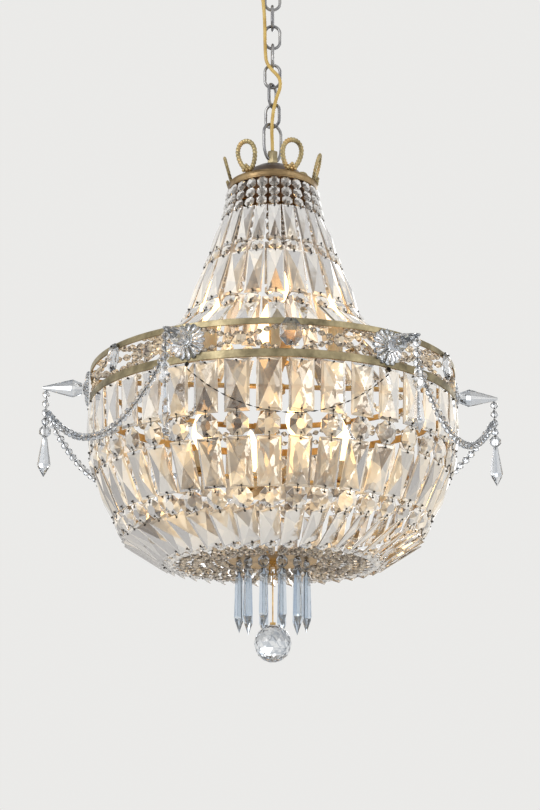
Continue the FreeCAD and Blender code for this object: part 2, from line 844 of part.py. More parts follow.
def basket_rows():
    """Rows of the basket, from the lower ring in to the hub, with a bead in what is left at the end."""
    start = (ring_radius - ring_thick / 2, -lower_ring_high / 2 - strand_gap)
    curve = smooth([start] + [(ring_radius - inwards, -depth) for inwards, depth in
                              (shoulder_point, turn_point, corner_point, floor_point, sag_point)]
                   + [(hub_radius, -hub_depth - hub_thick / 2)])
    lengths = [row_a_long, row_b_long, row_c_long, row_d_long, row_e_long, row_f_long]
    top, bottom = laid_along(curve, lengths, end_bead_rows)[-1]
    end_bead_long = top.distanceToPoint(bottom)
    rows = [("basket_upper_bars", cut_bar(row_a_long, row_a_wide, row_a_thick), row_a_long, 0.0),
            ("basket_upper_octagons", cut_disc(8, row_b_long, row_b_wide, row_b_thick), row_b_long, 0.0),
            ("basket_middle_bars", cut_bar(row_c_long, row_c_wide, row_c_thick), row_c_long, 0.0),
            ("basket_lower_octagons", cut_disc(8, row_d_long, row_d_wide, row_d_thick), row_d_long, 0.0),
            ("basket_floor_bars", cut_bar(row_e_long - 2 * row_e_ease, row_e_wide, row_e_thick), row_e_long,
             row_e_roll),
            ("basket_floor_octagons", cut_disc(6, row_f_long, row_f_wide, row_f_thick), row_f_long, 0.0)]
    bead = cut_bead(end_bead_long, end_bead_wide)
    rows += [("basket_end_beads", bead, end_bead_long, 45.0)] * end_bead_rows
    return strand_rows(rows, curve, basket_strands, basket_first)


def tent_rows():
    """Rows of the tent, from the crown's rim down to the upper ring.

    The three rows of bars share what the strand's line is longer or shorter than its crystals.
    """
    start = (crown_radius - tent_top_in, rim_low - strand_gap)
    end = (ring_inner - strand_gap, ring_spacing)
    points = [(start[0] + (end[0] - start[0]) * out, start[1] + (end[1] - start[1]) * down) for out, down in
              (tent_neck_point, tent_waist_point, tent_skirt_point, tent_hem_point, tent_foot_point)]
    curve = smooth([start] + points + [end])
    fixed = collar_rows * collar_long + tent_b_long + tent_d_long + tent_bead_rows * tent_bead_long
    gaps = (collar_rows + 5 + tent_bead_rows) * strand_gap
    bar_share = (line_reach(curve)[-1] - fixed - gaps) / (tent_a_long + tent_c_long + tent_e_long)
    upper, middle, foot = [long * bar_share for long in (tent_a_long, tent_c_long, tent_e_long)]
    collar = cut_disc(6, collar_long, collar_wide, collar_thick)
    rows = [("tent_collar_crystals", collar, collar_long, 0.0)] * collar_rows
    rows += [("tent_upper_bars", cut_bar(upper, tent_a_wide, tent_a_thick), upper, 0.0),
             ("tent_upper_octagons", cut_disc(8, tent_b_long, tent_b_wide, tent_b_thick), tent_b_long, 0.0),
             ("tent_middle_bars", cut_bar(middle, tent_c_wide, tent_c_thick), middle, 0.0),
             ("tent_lower_octagons", cut_disc(8, tent_d_long, tent_d_wide, tent_d_thick), tent_d_long, 0.0),
             ("tent_foot_bars", cut_bar(foot, tent_e_wide, tent_e_thick), foot, 0.0)]
    bead = cut_bead(tent_bead_long, tent_bead_wide)
    rows += [("tent_foot_beads", bead, tent_bead_long, 45.0)] * tent_bead_rows
    return strand_rows(rows, curve, tent_strands, tent_first)


def strand_rows(rows, curve, strands, first):
    """Nodes of a strand's crystals, each given as node, crystal, length and roll from the top down."""
    nodes = {}
    spans = laid_along(curve, [length for _, _, length, _ in rows])
    for (name, crystal, _, roll), span in zip(rows, spans):
        nodes.setdefault(name, []).extend(ranged(crystal, span, strands, first, roll))
    return nodes


def string_of(bead, count, start, end, across):
    """Beads laid end to end on a straight line, each with a strand gap after it."""
    step = (end - start) * (1.0 / count)
    gap = Vector(step).normalize() * strand_gap
    return [spanned(bead, start + step * (index + 1) - gap, start + step * index, across, 45.0)
            for index in range(count)]


def lattice():
    """Crossed strings of beads between the rings, with an octagon at each crossing."""
    low = lower_ring_high / 2 + strand_gap
    high = upper_ring_low - strand_gap
    radius = ring_inner - seat
    small = cut_disc(8, cross_octagon_long, cross_octagon_long, cross_octagon_thick)
    panel = 360.0 / rosette_count
    octagons = []
    beads = []
    for index in range(rosette_count):
        azimuth = rosette_first + panel * index
        for near, far in ((lattice_from_rosette, panel / 2 - lattice_from_panel),
                          (panel / 2 + lattice_from_panel, panel - lattice_from_rosette)):
            middle = azimuth + (near + far) / 2
            centre = at(radius, middle, (low + high) / 2)
            octagons.append(spanned(small, centre + Vector(0, 0, cross_octagon_long / 2),
                                    centre - Vector(0, 0, cross_octagon_long / 2), sideways(middle)))
            for turn in (near, far):
                for height in (low, high):
                    corner = at(radius, azimuth + turn, height)
                    inner = Vector(corner - centre).normalize() * (cross_octagon_long / 2 + strand_gap)
                    length = (corner - centre).Length - inner.Length
                    bead = cut_bead(length / lattice_bead_count - strand_gap, lattice_bead_wide)
                    beads += string_of(bead, lattice_bead_count, centre + inner, corner, outward(middle))
    return octagons, beads


def panel_octagons():
    """Long octagon on the outside of the rings in the middle of each panel.

    Its back is a low pyramid, so its rim clears the upper ring by as much as the pyramid needs
    over that ring's lower edge.
    """
    crystal = cut_disc(8, panel_octagon_long, panel_octagon_wide, panel_octagon_thick)
    top = upper_ring_top - panel_octagon_drop
    middle = top - panel_octagon_long / 2
    slope = 1 - (upper_ring_low - middle) / (panel_octagon_long / 2)
    radius = ring_radius + seat + panel_octagon_thick / 2 * slope
    span = (Vector(radius, 0, top), Vector(radius, 0, top - panel_octagon_long))
    return ranged(crystal, span, rosette_count, rosette_first + 180.0 / rosette_count)


hub_low_face = -hub_depth - hub_thick
hub_rod_low = hub_low_face - hub_rod_below
hub_rod_radius = stem_bore_radius - thread_fit


def bottom_hub():
    """Round plate that gathers the basket's strands."""
    low = ring_z + hub_low_face
    rim = (hub_radius - strand_gap) / math.cos(math.pi / hub_sides)
    rod_hole = bore(hub_rod_radius + seat, low, low + hub_thick, 8)
    return prism(hub_sides, rim, low, low + hub_thick).cut(rod_hole)


def eye():
    """Small closed loop of wire, centred on the origin in the XZ plane."""
    return wire_loop(oval_path(eye_inner_wide, eye_inner_long, eye_wire, steps=2), eye_wire)


def hub_rod():
    """Rod from the stem's foot through the hub plate, with an eye for the ball."""
    top = -stem_below_ring + hub_rod_in_stem
    rod = prism(8, hub_rod_radius, ring_z + hub_rod_low, ring_z + top)
    loop = eye()
    loop.translate(Vector(0, 0, ring_z + hub_rod_low - eye_inner_long / 2))
    return rod.fuse(loop)


def hub_nut():
    """Nut under the hub plate."""
    return hex_nut(hub_nut_flats, nut_thick, hub_rod_radius + thread_fit, ring_z + hub_low_face - seat)


def icicle_octagons():
    """Octagon over each icicle, hung under the rim of the hub plate."""
    top = hub_low_face - seat
    crystal = cut_disc(8, icicle_octagon_long, icicle_octagon_long, icicle_octagon_thick)
    span = (Vector(icicle_circle, 0, top), Vector(icicle_circle, 0, top - icicle_octagon_long))
    return ranged(crystal, span, icicle_count, 180.0 / icicle_count)


def icicles():
    """Long six-sided drops in a ring under the hub."""
    top = hub_low_face - seat - icicle_octagon_long - strand_gap
    drop = stacked([[Vector(0, 0, -icicle_long)], ring_of(6, icicle_radius, icicle_point - icicle_long),
                    ring_of(6, icicle_radius * 0.8, -icicle_point / 2), [Vector(0, 0, 0)]])
    row = []
    for index in range(icicle_count):
        azimuth = 360.0 * (index + 0.5) / icicle_count
        row.append(placed(drop, columns(sideways(azimuth), Vector(0, 0, 1), at(icicle_circle, azimuth, top))))
    return row


ball_eye_height = hub_rod_low - eye_inner_long / 2 - (eye_inner_long - seat)


def ball():
    """Faceted crystal ball."""
    steps = 6
    rings = []
    for step in range(steps):
        angle = math.pi * ((step + 0.5) / steps - 0.5)
        height = ring_z - ball_depth + ball_radius * math.sin(angle)
        rings.append(ring_of(ball_sides, ball_radius * math.cos(angle), height))
    return stacked(rings)


def ball_hanger():
    """Wire with an eye at its top and a cap on the ball."""
    low = -ball_depth + ball_radius * math.sin(math.pi * 5 / 12) + seat
    loop = eye()
    loop.rotate(Vector(0, 0, 0), Vector(0, 0, 1), 90)
    loop.translate(Vector(0, 0, ring_z + ball_eye_height))
    wire_top = ball_eye_height - eye_inner_long / 2 - eye_wire / 4
    wire = prism(6, eye_wire / 2, ring_z + low, ring_z + wire_top)
    cap = prism(8, ball_cap_radius, ring_z + low, ring_z + low + ball_cap_high)
    return loop.fuse(wire).fuse(cap)


hang_radius = tip_radius - tip_in
hang_share = tip_in / (spike_long - spike_belly)
hang_spike_radius = spike_tip_radius + (spike_radius - spike_tip_radius) * hang_share
tip_beads_top = rosette_height - hang_spike_radius * math.cos(math.pi / 8) - seat
tip_step = tip_bead_long + strand_gap
pendant_top = tip_beads_top - tip_step * tip_beads


def tip_bead_strings():
    """Short string of beads under each spike's tip."""
    bead = cut_bead(tip_bead_long, tip_bead_wide)
    strings = []
    for index in range(tip_beads):
        top = tip_beads_top - tip_step * index
        span = (Vector(hang_radius, 0, top), Vector(hang_radius, 0, top - tip_bead_long))
        strings += ranged(bead, span, rosette_count, rosette_first)
    return strings


def pendant(index):
    """Bead, octagon and drop that swing under one spike."""
    azimuth = rosette_first + 360.0 * index / rosette_count
    bead = cut_bead(pendant_bead_long, tip_bead_wide)
    octagon = cut_disc(8, pendant_octagon_long, pendant_octagon_long, pendant_octagon_thick)
    drop = stacked([[Vector(0, 0, -drop_long / 2)],
                    ring_of(6, drop_wide / 2, drop_long / 2 - drop_belly, drop_thick / 2),
                    [Vector(0, 0, drop_long / 2)]])
    pieces = []
    top = pendant_top
    for crystal, length in ((bead, pendant_bead_long), (octagon, pendant_octagon_long), (drop, drop_long)):
        pieces.append(spanned(crystal, at(hang_radius, azimuth, top), at(hang_radius, azimuth, top - length),
                              sideways(azimuth + pendant_turns[index])))
        top -= length + strand_gap
    return pieces


def sagging(start, end, sag, steps=200):
    """Close points on a chain that hangs between two points of the same height."""
    points = []
    for step in range(steps + 1):
        share = step / steps
        drop = sag * 4 * share * (1 - share)
        points.append(start + (end - start) * share - Vector(0, 0, drop))
    return points


def festoons():
    """Strings of beads from spike to spike, all round but for the front panel."""
    height = pendant_top + tip_step - tip_bead_long / 2
    side = tip_bead_wide / 2 * math.cos(math.pi / 4) / math.cos(math.pi / 12) + seat
    beads = []
    for index in range(1, rosette_count):
        azimuth = rosette_first + 360.0 * index / rosette_count
        left = at(hang_radius, azimuth, height)
        right = at(hang_radius, azimuth + 360.0 / rosette_count, height)
        shift = Vector(right - left).normalize() * side
        spans = laid_along(sagging(left + shift, right - shift, festoon_sag), [], festoon_bead_count)
        bead = cut_bead(spans[0][0].distanceToPoint(spans[0][1]), festoon_bead_wide)
        beads += [spanned(bead, top, bottom, outward(azimuth + 180.0 / rosette_count), 45.0)
                  for top, bottom in spans]
    return beads


def rosette_beads():
    """Bead under each of the two front rosettes."""
    top = rosette_height - rosette_radius - seat
    bead = cut_bead(rosette_bead_long, rosette_bead_wide)
    ends = [rosette_first, rosette_first + 360.0 / rosette_count]
    return [spanned(bead, at(rosette_back + seat, azimuth, top),
                    at(ring_radius + pin_chain_out, azimuth, top - rosette_bead_long), sideways(azimuth))
            for azimuth in ends]


def front_pin_chain():
    """Bare chain of wire pins across the front panel, over the basket's upper bars."""
    top = rosette_height - rosette_radius - seat - rosette_bead_long - strand_gap
    panel = 360.0 / rosette_count
    line = []
    for step in range(201):
        share = step / 200
        drop = pin_chain_sag * 4 * share * (1 - share)
        line.append(at(ring_radius + pin_chain_out, rosette_first + panel * share, top - drop))
    pins = []
    for begin, finish in laid_along(line, [], pin_chain_count):
        pin = cut_bead(begin.distanceToPoint(finish), pin_wide)
        across = Vector((begin + finish).x, (begin + finish).y, 0)
        pins.append(spanned(pin, begin, finish, across))
    return pins


def cord_route():
    """Corners of the flex's middle line, from the ceiling loop's mouth down into the stem.

    It passes in front of the loop's foot and the first link, then beside the links and through them.
    """
    def by_link(number, above, across, deep):
        return Vector(across, deep, first_link_z - (number - 1) * link_pitch + above)

    mouth = loop_hub_bottom + seat
    hub_top = ring_z + loop_top_above_ring - crown_loop_inner_high
    return [Vector(0, 0, mouth), by_link(1, 29.3, -0.8, -2.5), by_link(1, 15.8, -8.0, -15.0),
            by_link(1, -5.7, -13.5, -14.0), by_link(2, 4.5, -14.8, -6.8), by_link(3, -0.5, -11.0, -6.8),
            by_link(5, 4.0, -10.5, -6.8), by_link(6, 13.8, -8.0, -6.8), by_link(6, -9.2, 15.0, -6.8),
            by_link(8, 15.8, 2.5, -8.5), by_link(8, -20.0, -1.5, -7.8), Vector(0, 0, hub_top + 9.0),
            Vector(0, 0, hub_top - crown_hub_high - 4.0)]


def cord():
    """Many-sided flex along its route: straight runs joined by arcs that touch them."""
    corners = cord_route()
    first = corners[1] - corners[0]
    section = columns(Vector(1, 0, 0), first, corners[0])
    ring = [section.multVec(point) for point in ring_of(cord_sides, cord_radius, 0)]
    rings = [ring]
    length = 0.0
    start = corners[0]
    for before, corner, after in zip(corners, corners[1:], corners[2:]):
        back = before - corner
        ahead = after - corner
        reach = cord_bend_share * min(back.Length, ahead.Length)
        back.normalize()
        ahead.normalize()
        turn = math.pi - back.getAngle(ahead)
        radius = reach / math.tan(turn / 2)
        run = corner + back * reach - start
        ring = [point + run for point in ring]
        rings.append(ring)
        centre = corner + (back + ahead).normalize() * (radius / math.cos(turn / 2))
        step = FreeCAD.Rotation(ahead.cross(back), math.degrees(turn) / cord_bend_steps)
        for _ in range(cord_bend_steps):
            ring = [centre + step.multVec(point - centre) for point in ring]
            rings.append(ring)
        length += run.Length + radius * turn
        start = corner + ahead * reach
        print("flex bend radius %.1f, turn %.0f" % (radius, math.degrees(turn)))
    run = corners[-1] - start
    rings.append([point + run for point in ring])
    flex = stacked(rings)
    section_area = cord_sides / 2 * cord_radius ** 2 * math.sin(2 * math.pi / cord_sides)
    print("flex length %.1f, volume over section %.1f" % (length + run.Length, flex.Volume / section_area))
    return flex


def save_all():
    """Write every node."""
    os.makedirs("parts", exist_ok=True)
    links = chain_links()
    lattice_octagons, lattice_strings = lattice()
    nodes = {
        "ceiling_strap": ceiling_strap(), "nipple": nipple(), "nipple_nut": nipple_nut(),
        "canopy": canopy(), "screw_collar": screw_collar(), "ceiling_loop": ceiling_loop(),
        "top_link": links[0], "chain_links": links[1:], "flex": cord(),
        "crown_loop": crown_loop(), "crown": crown(), "bows": bows(), "bow_knots": bow_knots(),
        "stem": stem(), "stem_nuts": stem_nuts(), "spider": spider(), "lower_arms": lower_arms(),
        "upper_ring": band_ring(ring_spacing, upper_ring_high), "lower_ring": band_ring(0.0, lower_ring_high),
        "ring_posts": posts(), "rosettes": rosettes(), "spikes": spikes(),
        "drip_cups": drip_cups(), "candles": candles(),
        "bulbs": bulbs(), "panel_octagons": panel_octagons(), "lattice_octagons": lattice_octagons,
        "lattice_beads": lattice_strings, "bottom_hub": bottom_hub(), "hub_rod": hub_rod(),
        "hub_nut": hub_nut(), "icicle_octagons": icicle_octagons(), "icicles": icicles(),
        "ball": ball(), "ball_hanger": ball_hanger(), "tip_beads": tip_bead_strings(),
        "festoon_beads": festoons(), "front_pin_chain": rosette_beads() + front_pin_chain(),
    }
    nodes.update(basket_rows())
    nodes.update(tent_rows())
    for index in range(rosette_count):
        nodes["pendant_" + str(index + 1)] = pendant(index)
    for name, shape in nodes.items():
        save(name, shape)


save_all()
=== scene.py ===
"""Crystal chandelier: looks and fine shapes over the CAD frame, in metres."""

import math

import bpy
import numpy as np
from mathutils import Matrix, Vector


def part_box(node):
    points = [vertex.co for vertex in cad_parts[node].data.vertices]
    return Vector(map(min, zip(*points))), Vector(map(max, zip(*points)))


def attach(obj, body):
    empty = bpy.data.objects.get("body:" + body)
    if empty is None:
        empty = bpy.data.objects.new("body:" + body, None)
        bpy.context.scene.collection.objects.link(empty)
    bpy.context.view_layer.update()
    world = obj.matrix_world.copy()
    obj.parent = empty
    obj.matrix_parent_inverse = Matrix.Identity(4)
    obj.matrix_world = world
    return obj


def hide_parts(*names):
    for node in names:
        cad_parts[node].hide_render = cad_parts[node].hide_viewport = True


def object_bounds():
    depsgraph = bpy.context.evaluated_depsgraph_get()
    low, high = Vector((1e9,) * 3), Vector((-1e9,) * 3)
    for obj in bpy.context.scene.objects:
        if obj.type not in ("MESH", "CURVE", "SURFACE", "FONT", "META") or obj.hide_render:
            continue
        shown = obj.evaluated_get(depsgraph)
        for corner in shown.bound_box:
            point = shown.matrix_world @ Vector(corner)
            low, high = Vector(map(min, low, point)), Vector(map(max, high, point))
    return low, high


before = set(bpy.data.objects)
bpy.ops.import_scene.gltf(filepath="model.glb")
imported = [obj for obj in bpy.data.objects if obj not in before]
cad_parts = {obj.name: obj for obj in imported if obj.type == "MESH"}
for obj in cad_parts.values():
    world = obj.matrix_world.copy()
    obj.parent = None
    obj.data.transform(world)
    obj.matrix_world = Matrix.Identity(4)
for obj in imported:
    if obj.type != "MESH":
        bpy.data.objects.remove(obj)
cad_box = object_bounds()

MM = 0.001
TURN = 2 * math.pi
UP = np.array([0.0, 0.0, 1.0])


# Sizes read from the frame

def triangles(node):
    """Corners of a node's triangles, as triangle x corner x axis."""
    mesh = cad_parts[node].data
    mesh.calc_loop_triangles()
    corners = np.empty(len(mesh.loop_triangles) * 3, dtype=int)
    mesh.loop_triangles.foreach_get("vertices", corners)
    points = np.empty(len(mesh.vertices) * 3)
    mesh.vertices.foreach_get("co", points)
    return points.reshape(-1, 3)[corners].reshape(-1, 3, 3)


def solids(node, count):
    """Corner points of each of a node's equal solids, as solid x point x axis."""
    return triangles(node).reshape(count, -1, 3)


def unit(vectors):
    """Vectors scaled to length 1 along the last axis."""
    return vectors / np.linalg.norm(vectors, axis=-1, keepdims=True)


class Seats:
    """Where the copies of one crystal sit: middle, three axes and half sizes of each copy."""

    def __init__(self, middle, across, deep, along, half):
        self.middle, self.across, self.deep, self.along, self.half = middle, across, deep, along, half

    def upright(self):
        """The same seats with their long axes pointing up."""
        along = self.along * np.sign(self.along[:, 2:])
        return Seats(self.middle, self.across, self.deep, along, self.half)

    def part(self, chosen):
        """Some of the seats, by a slice."""
        return Seats(self.middle[chosen], self.across[chosen], self.deep[chosen], self.along[chosen],
                     self.half[chosen])


def measured(points, across, deep, along):
    """Seats of point groups whose axes are known: middle and half sizes from the spread along each axis."""
    axes = np.stack([across, deep, along], axis=1)
    spread = np.einsum("npk,nak->npa", points, axes)
    low, high = spread.min(axis=1), spread.max(axis=1)
    middle = np.einsum("na,nak->nk", (low + high) / 2, axes)
    return Seats(middle, across, deep, along, (high - low) / 2)


def hanging_seats(node, count):
    """Seats of flat crystals: thin axis outwards, and the axis across them level with the circle."""
    points = solids(node, count)
    spread = points - points.mean(axis=1, keepdims=True)
    thin = np.linalg.eigh(np.einsum("npk,npl->nkl", spread, spread))[1][:, :, 0]
    outwards = points.mean(axis=1) * [1, 1, 0]
    deep = thin * np.sign(np.einsum("nk,nk->n", thin, unit(outwards) - UP * 0.35))[:, None]
    level = unit(np.cross(UP, outwards))
    across = unit(level - deep * np.einsum("nk,nk->n", level, deep)[:, None])
    return measured(points, across, deep, np.cross(across, deep))


def string_seats(node, count):
    """Seats of beads: the axis along which a bead reaches farthest is along the string.

    Both half sizes across it are the farthest that a corner lies from that axis.
    """
    points = solids(node, count)
    spread = points - points.mean(axis=1, keepdims=True)
    vectors = np.linalg.eigh(np.einsum("npk,npl->nkl", spread, spread))[1]
    order = np.argsort(np.ptp(spread @ vectors, axis=1), axis=1)
    across, _, along = np.moveaxis(np.take_along_axis(vectors, order[:, None], axis=2), 2, 0)
    seats = measured(points, across, np.cross(along, across), along)
    beside = spread - np.einsum("npk,nk->np", spread, along)[..., None] * along[:, None]
    seats.half[:, :2] = np.linalg.norm(beside, axis=2).max(axis=1)[:, None]
    return seats


# Surfaces

class Form:
    """Points, and faces grouped by their number of corners."""

    def __init__(self, points, faces):
        self.points = np.asarray(points, dtype=float)
        self.faces = [np.asarray(group, dtype=int) for group in faces if len(group)]

    def volume(self):
        """Signed volume, as the sum of the tetrahedra from the origin to each face's fan of triangles."""
        total = 0.0
        for group in self.faces:
            for corner in range(1, group.shape[1] - 1):
                a, b, c = (self.points[group[:, k]] for k in (0, corner, corner + 1))
                total += np.einsum("nk,nk->", a, np.cross(b, c))
        return total / 6

    def facing_out(self):
        """The same form with its faces turned outwards."""
        if self.volume() < 0:
            self.faces = [group[:, ::-1] for group in self.faces]
        return self

    def at(self, seats, half=False):
        """Copies of the form at each seat, with its X across, Y deep and Z along.

        With half, its points are shares of the seat's half sizes.
        """
        points = self.points[None] * (seats.half[:, None] if half else 1.0)
        axes = np.stack([seats.across, seats.deep, seats.along], axis=1)
        placed = seats.middle[:, None] + np.einsum("npa,nak->npk", np.broadcast_to(
            points, (len(seats.middle),) + points.shape[1:]), axes)
        steps = np.arange(len(seats.middle))[:, None, None] * len(self.points)
        faces = [(group[None] + steps).reshape(-1, group.shape[1]) for group in self.faces]
        return Form(placed.reshape(-1, 3), faces)


def joined(*forms):
    """Several forms as one."""
    points, faces, start = [], [], 0
    for form in forms:
        points.append(form.points)
        faces += [group + start for group in form.faces]
        start += len(form.points)
    return Form(np.concatenate(points), faces)


def grid(points, round_rows=False, facets=False):
    """Surface on a grid of points that closes round each row.

    Rows close on each other with round_rows, and otherwise the first and last row are flat ends. With
    facets, each cell is two triangles.
    """
    rows, columns = points.shape[:2]
    row = np.arange(rows if round_rows else rows - 1)[:, None]
    column = np.arange(columns)[None]
    after, beside = (row + 1) % rows, (column + 1) % columns
    a, b = row * columns + column, row * columns + beside
    c, d = after * columns + beside, after * columns + column
    if facets:
        faces = [np.stack([a, b, d], -1).reshape(-1, 3), np.stack([b, c, d], -1).reshape(-1, 3)]
    else:
        faces = [np.stack([a, b, c, d], -1).reshape(-1, 4)]
    if not round_rows:
        faces += [np.arange(columns)[None, ::-1], (rows - 1) * columns + np.arange(columns)[None]]
    return Form(points.reshape(-1, 3), faces).facing_out()


def turned(outline, steps, closed=True):
    """Outline of radius and height turned about Z: (r cos t, r sin t, h) for each of `steps` angles t."""
    radius, height = np.asarray(outline, dtype=float).T
    angle = TURN * np.arange(steps) / steps
    points = np.stack([radius[:, None] * np.cos(angle), radius[:, None] * np.sin(angle),
                       np.repeat(height[:, None], steps, 1)], -1)
    return grid(points, round_rows=closed)


def swept(path, normal, outline, closed=True):
    """Section of (out, up) pairs carried along a path that lies in one plane with this normal."""
    tangent = np.roll(path, -1, axis=0) - np.roll(path, 1, axis=0)
    if not closed:
        tangent[0], tangent[-1] = path[1] - path[0], path[-1] - path[-2]
    side = unit(np.cross(unit(tangent), normal))
    out, up = np.moveaxis(np.asarray(outline, dtype=float), -1, 0)
    points = path[:, None] + side[:, None] * np.atleast_2d(out)[..., None] \
        + np.asarray(normal) * np.atleast_2d(up)[..., None]
    return grid(points, round_rows=closed)


def round_section(radius, sides=12):
    """Points round a circle, as (out, up) pairs."""
    angle = TURN * np.arange(sides) / sides
    return np.stack([radius * np.cos(angle), radius * np.sin(angle)], -1)


def rods(starts, ends, radius, sides=5):
    """Straight wires from each start to each end."""
    along = ends - starts
    long = np.linalg.norm(along, axis=1)
    along = unit(along)
    across = unit(np.cross(along, [0.31, 0.17, 0.93]))
    half = np.stack([long * 0 + radius, long * 0 + radius, long / 2], 1)
    seats = Seats((starts + ends) / 2, across, np.cross(along, across), along, half)
    ring = round_section(1.0, sides)
    points = np.stack([np.column_stack([ring, np.full(sides, level)]) for level in (-1.0, 1.0)])
    return grid(points).at(seats, half=True)


# Crystal shapes, in shares of their half sizes

def bar_cut():
    """Bar: a rectangle with four facets to a peak in front and a long table behind.

    Ring k of eight points is (w x, d, l z), where (x, z) runs round the unit square and its corners
    are drawn in by the ring's own share.
    """
    angle = TURN * np.arange(8) / 8
    square = np.stack([np.cos(angle), np.sin(angle)], -1)
    square /= np.abs(square).max(axis=1, keepdims=True)
    corner = np.arange(8) % 2
    rings = [(0.50, 0.74, -0.62, 0.76), (0.97, 0.985, -0.16, 1.0), (1.0, 1.0, 0.0, 1.0),
             (0.97, 0.985, 0.16, 1.0), (0.80, 0.90, 0.42, 0.97), (0.02, 0.02, 1.0, 1.0)]
    points = []
    for wide, long, depth, drawn in rings:
        share = 1 - corner * (1 - drawn)
        points.append(np.stack([square[:, 0] * wide * share, np.full(8, depth),
                                square[:, 1] * long * share], -1))
    return grid(np.stack(points), facets=True)


def disc_cut(sides=8):
    """Round crystal: a table on both faces and a star of triangles down to the rim.

    Ring k is a circle of points turned by half a step against the one before.
    """
    rings = [(0.46, -0.86, 0.0), (1.0, -0.16, 0.5), (1.0, 0.16, 0.5), (0.46, 0.86, 1.0)]
    reach = 1 / math.cos(math.pi / sides)
    points = []
    for share, depth, turn in rings:
        angle = TURN * (np.arange(sides) + turn) / sides
        points.append(np.stack([share * reach * np.sin(angle), np.full(sides, depth),
                                share * reach * np.cos(angle)], -1))
    return grid(np.stack(points), facets=True)


def bead_cut(sides=6, waist=0.42):
    """Bead about its string: circles of radius waist, 1, 1 and waist, each turned by half a step."""
    rings = [(waist, -1.0, 0.0), (1.0, -0.32, 0.5), (1.0, 0.32, 1.0), (waist, 1.0, 1.5)]
    points = []
    for share, height, turn in rings:
        angle = TURN * (np.arange(sides) + turn) / sides
        points.append(np.stack([share * np.cos(angle), share * np.sin(angle), np.full(sides, height)], -1))
    return grid(np.stack(points), facets=True)


# Shader arithmetic and finishes

class Wire:
    """Socket that takes part in arithmetic: each operator adds one Math node."""

    def __init__(self, finish, socket):
        self.finish, self.socket = finish, socket

    def math(self, operation, *values):
        return self.finish.node("Math", {"operation": operation}, *values)

    def __add__(self, other):
        return self.math("ADD", self, other)

    def __radd__(self, other):
        return self.math("ADD", other, self)

    def __sub__(self, other):
        return self.math("SUBTRACT", self, other)

    def __rsub__(self, other):
        return self.math("SUBTRACT", other, self)

    def __mul__(self, other):
        return self.math("MULTIPLY", self, other)

    def __rmul__(self, other):
        return self.math("MULTIPLY", other, self)

    def __pow__(self, other):
        return self.math("POWER", self, other)

    def clamp(self, low, high):
        """0 at low, 1 at high and smooth between them."""
        return self.finish.node("MapRange", {"interpolation_type": "SMOOTHSTEP"}, self, low, high)


class Finish:
    """Material with one Principled shader, whose constants are set when it is made."""

    def __init__(self, name, **constants):
        self.material = bpy.data.materials.new(name)
        self.material.use_nodes = True
        self.tree = self.material.node_tree
        self.shader = self.tree.nodes["Principled BSDF"]
        for socket, value in constants.items():
            self.shader.inputs[socket.replace("_", " ")].default_value = value

    def node(self, kind, settings, *values, out=0, **named):
        """Adds a node of a type, sets its settings, then its inputs by place or by name."""
        made = self.tree.nodes.new("ShaderNode" + kind)
        for key, value in settings.items():
            if key == "stops":
                self.stops(made, value)
            else:
                setattr(made, key, value)
        for place, value in list(enumerate(values)) + [(k.replace("_", " "), v) for k, v in named.items()]:
            self.feed(made.inputs[place], value)
        return Wire(self, made.outputs[out])

    def stops(self, ramp, stops):
        """Sets a colour ramp's stops from (place, colour) pairs."""
        elements = ramp.color_ramp.elements
        while len(elements) < len(stops):
            elements.new(0.5)
        for element, (place, colour) in zip(elements, stops):
            element.position = place
            element.color = (*colour, 1.0)

    def feed(self, socket, value):
        """Links a wire to a socket, or sets a constant."""
        if isinstance(value, Wire):
            self.tree.links.new(value.socket, socket)
        else:
            socket.default_value = value

    def set(self, socket, value):
        """Feeds one of the shader's inputs."""
        self.feed(self.shader.inputs[socket], value)

    def place(self):
        """Object coordinates."""
        return self.node("TexCoord", {}, out="Object")

    def axes(self):
        """Object coordinates as three wires."""
        split = self.tree.nodes.new("ShaderNodeSeparateXYZ")
        self.feed(split.inputs[0], self.place())
        return [Wire(self, split.outputs[k]) for k in range(3)]

    def noise(self, scale, detail=3.0, rough=0.5):
        """Cloudy value from 0 to 1."""
        return self.node("TexNoise", {}, Vector=self.place(), Scale=scale, Detail=detail, Roughness=rough)

    def cells(self, scale, out="Distance"):
        """Distance to the nearest of scattered points, or their colours."""
        return self.node("TexVoronoi", {}, Vector=self.place(), Scale=scale, out=out)

    def facets(self, *waves):
        """Painted reflection: a value from 0 to 1 that steps from facet to facet, the mean of cos(w . n) over
        wave vectors w, where n is the facet's normal, standing in for the light and dark surroundings a cut
        facet would show."""
        total = 0.0
        for wave in waves:
            normal = self.node("TexCoord", {}, out="Normal")
            turn = self.node("VectorMath", {"operation": "DOT_PRODUCT"}, normal, wave, out="Value")
            total = turn.math("COSINE", turn) + total
        return total * (0.5 / len(waves)) + 0.5

    def ramp(self, value, *stops):
        """Colour by a value, from (place, colour) stops."""
        return self.node("ValToRGB", {"stops": stops}, value)

    def mix(self, share, first, second):
        """Colour between two colours."""
        made = self.tree.nodes.new("ShaderNodeMix")
        made.data_type = "RGBA"
        self.feed(made.inputs[0], share)
        self.feed(made.inputs[6], first)
        self.feed(made.inputs[7], second)
        return Wire(self, made.outputs[2])

    def bump(self, height, strength, distance):
        """Normal pushed by a height."""
        self.set("Normal", self.node("Bump", {}, Strength=strength, Distance=distance, Height=height))


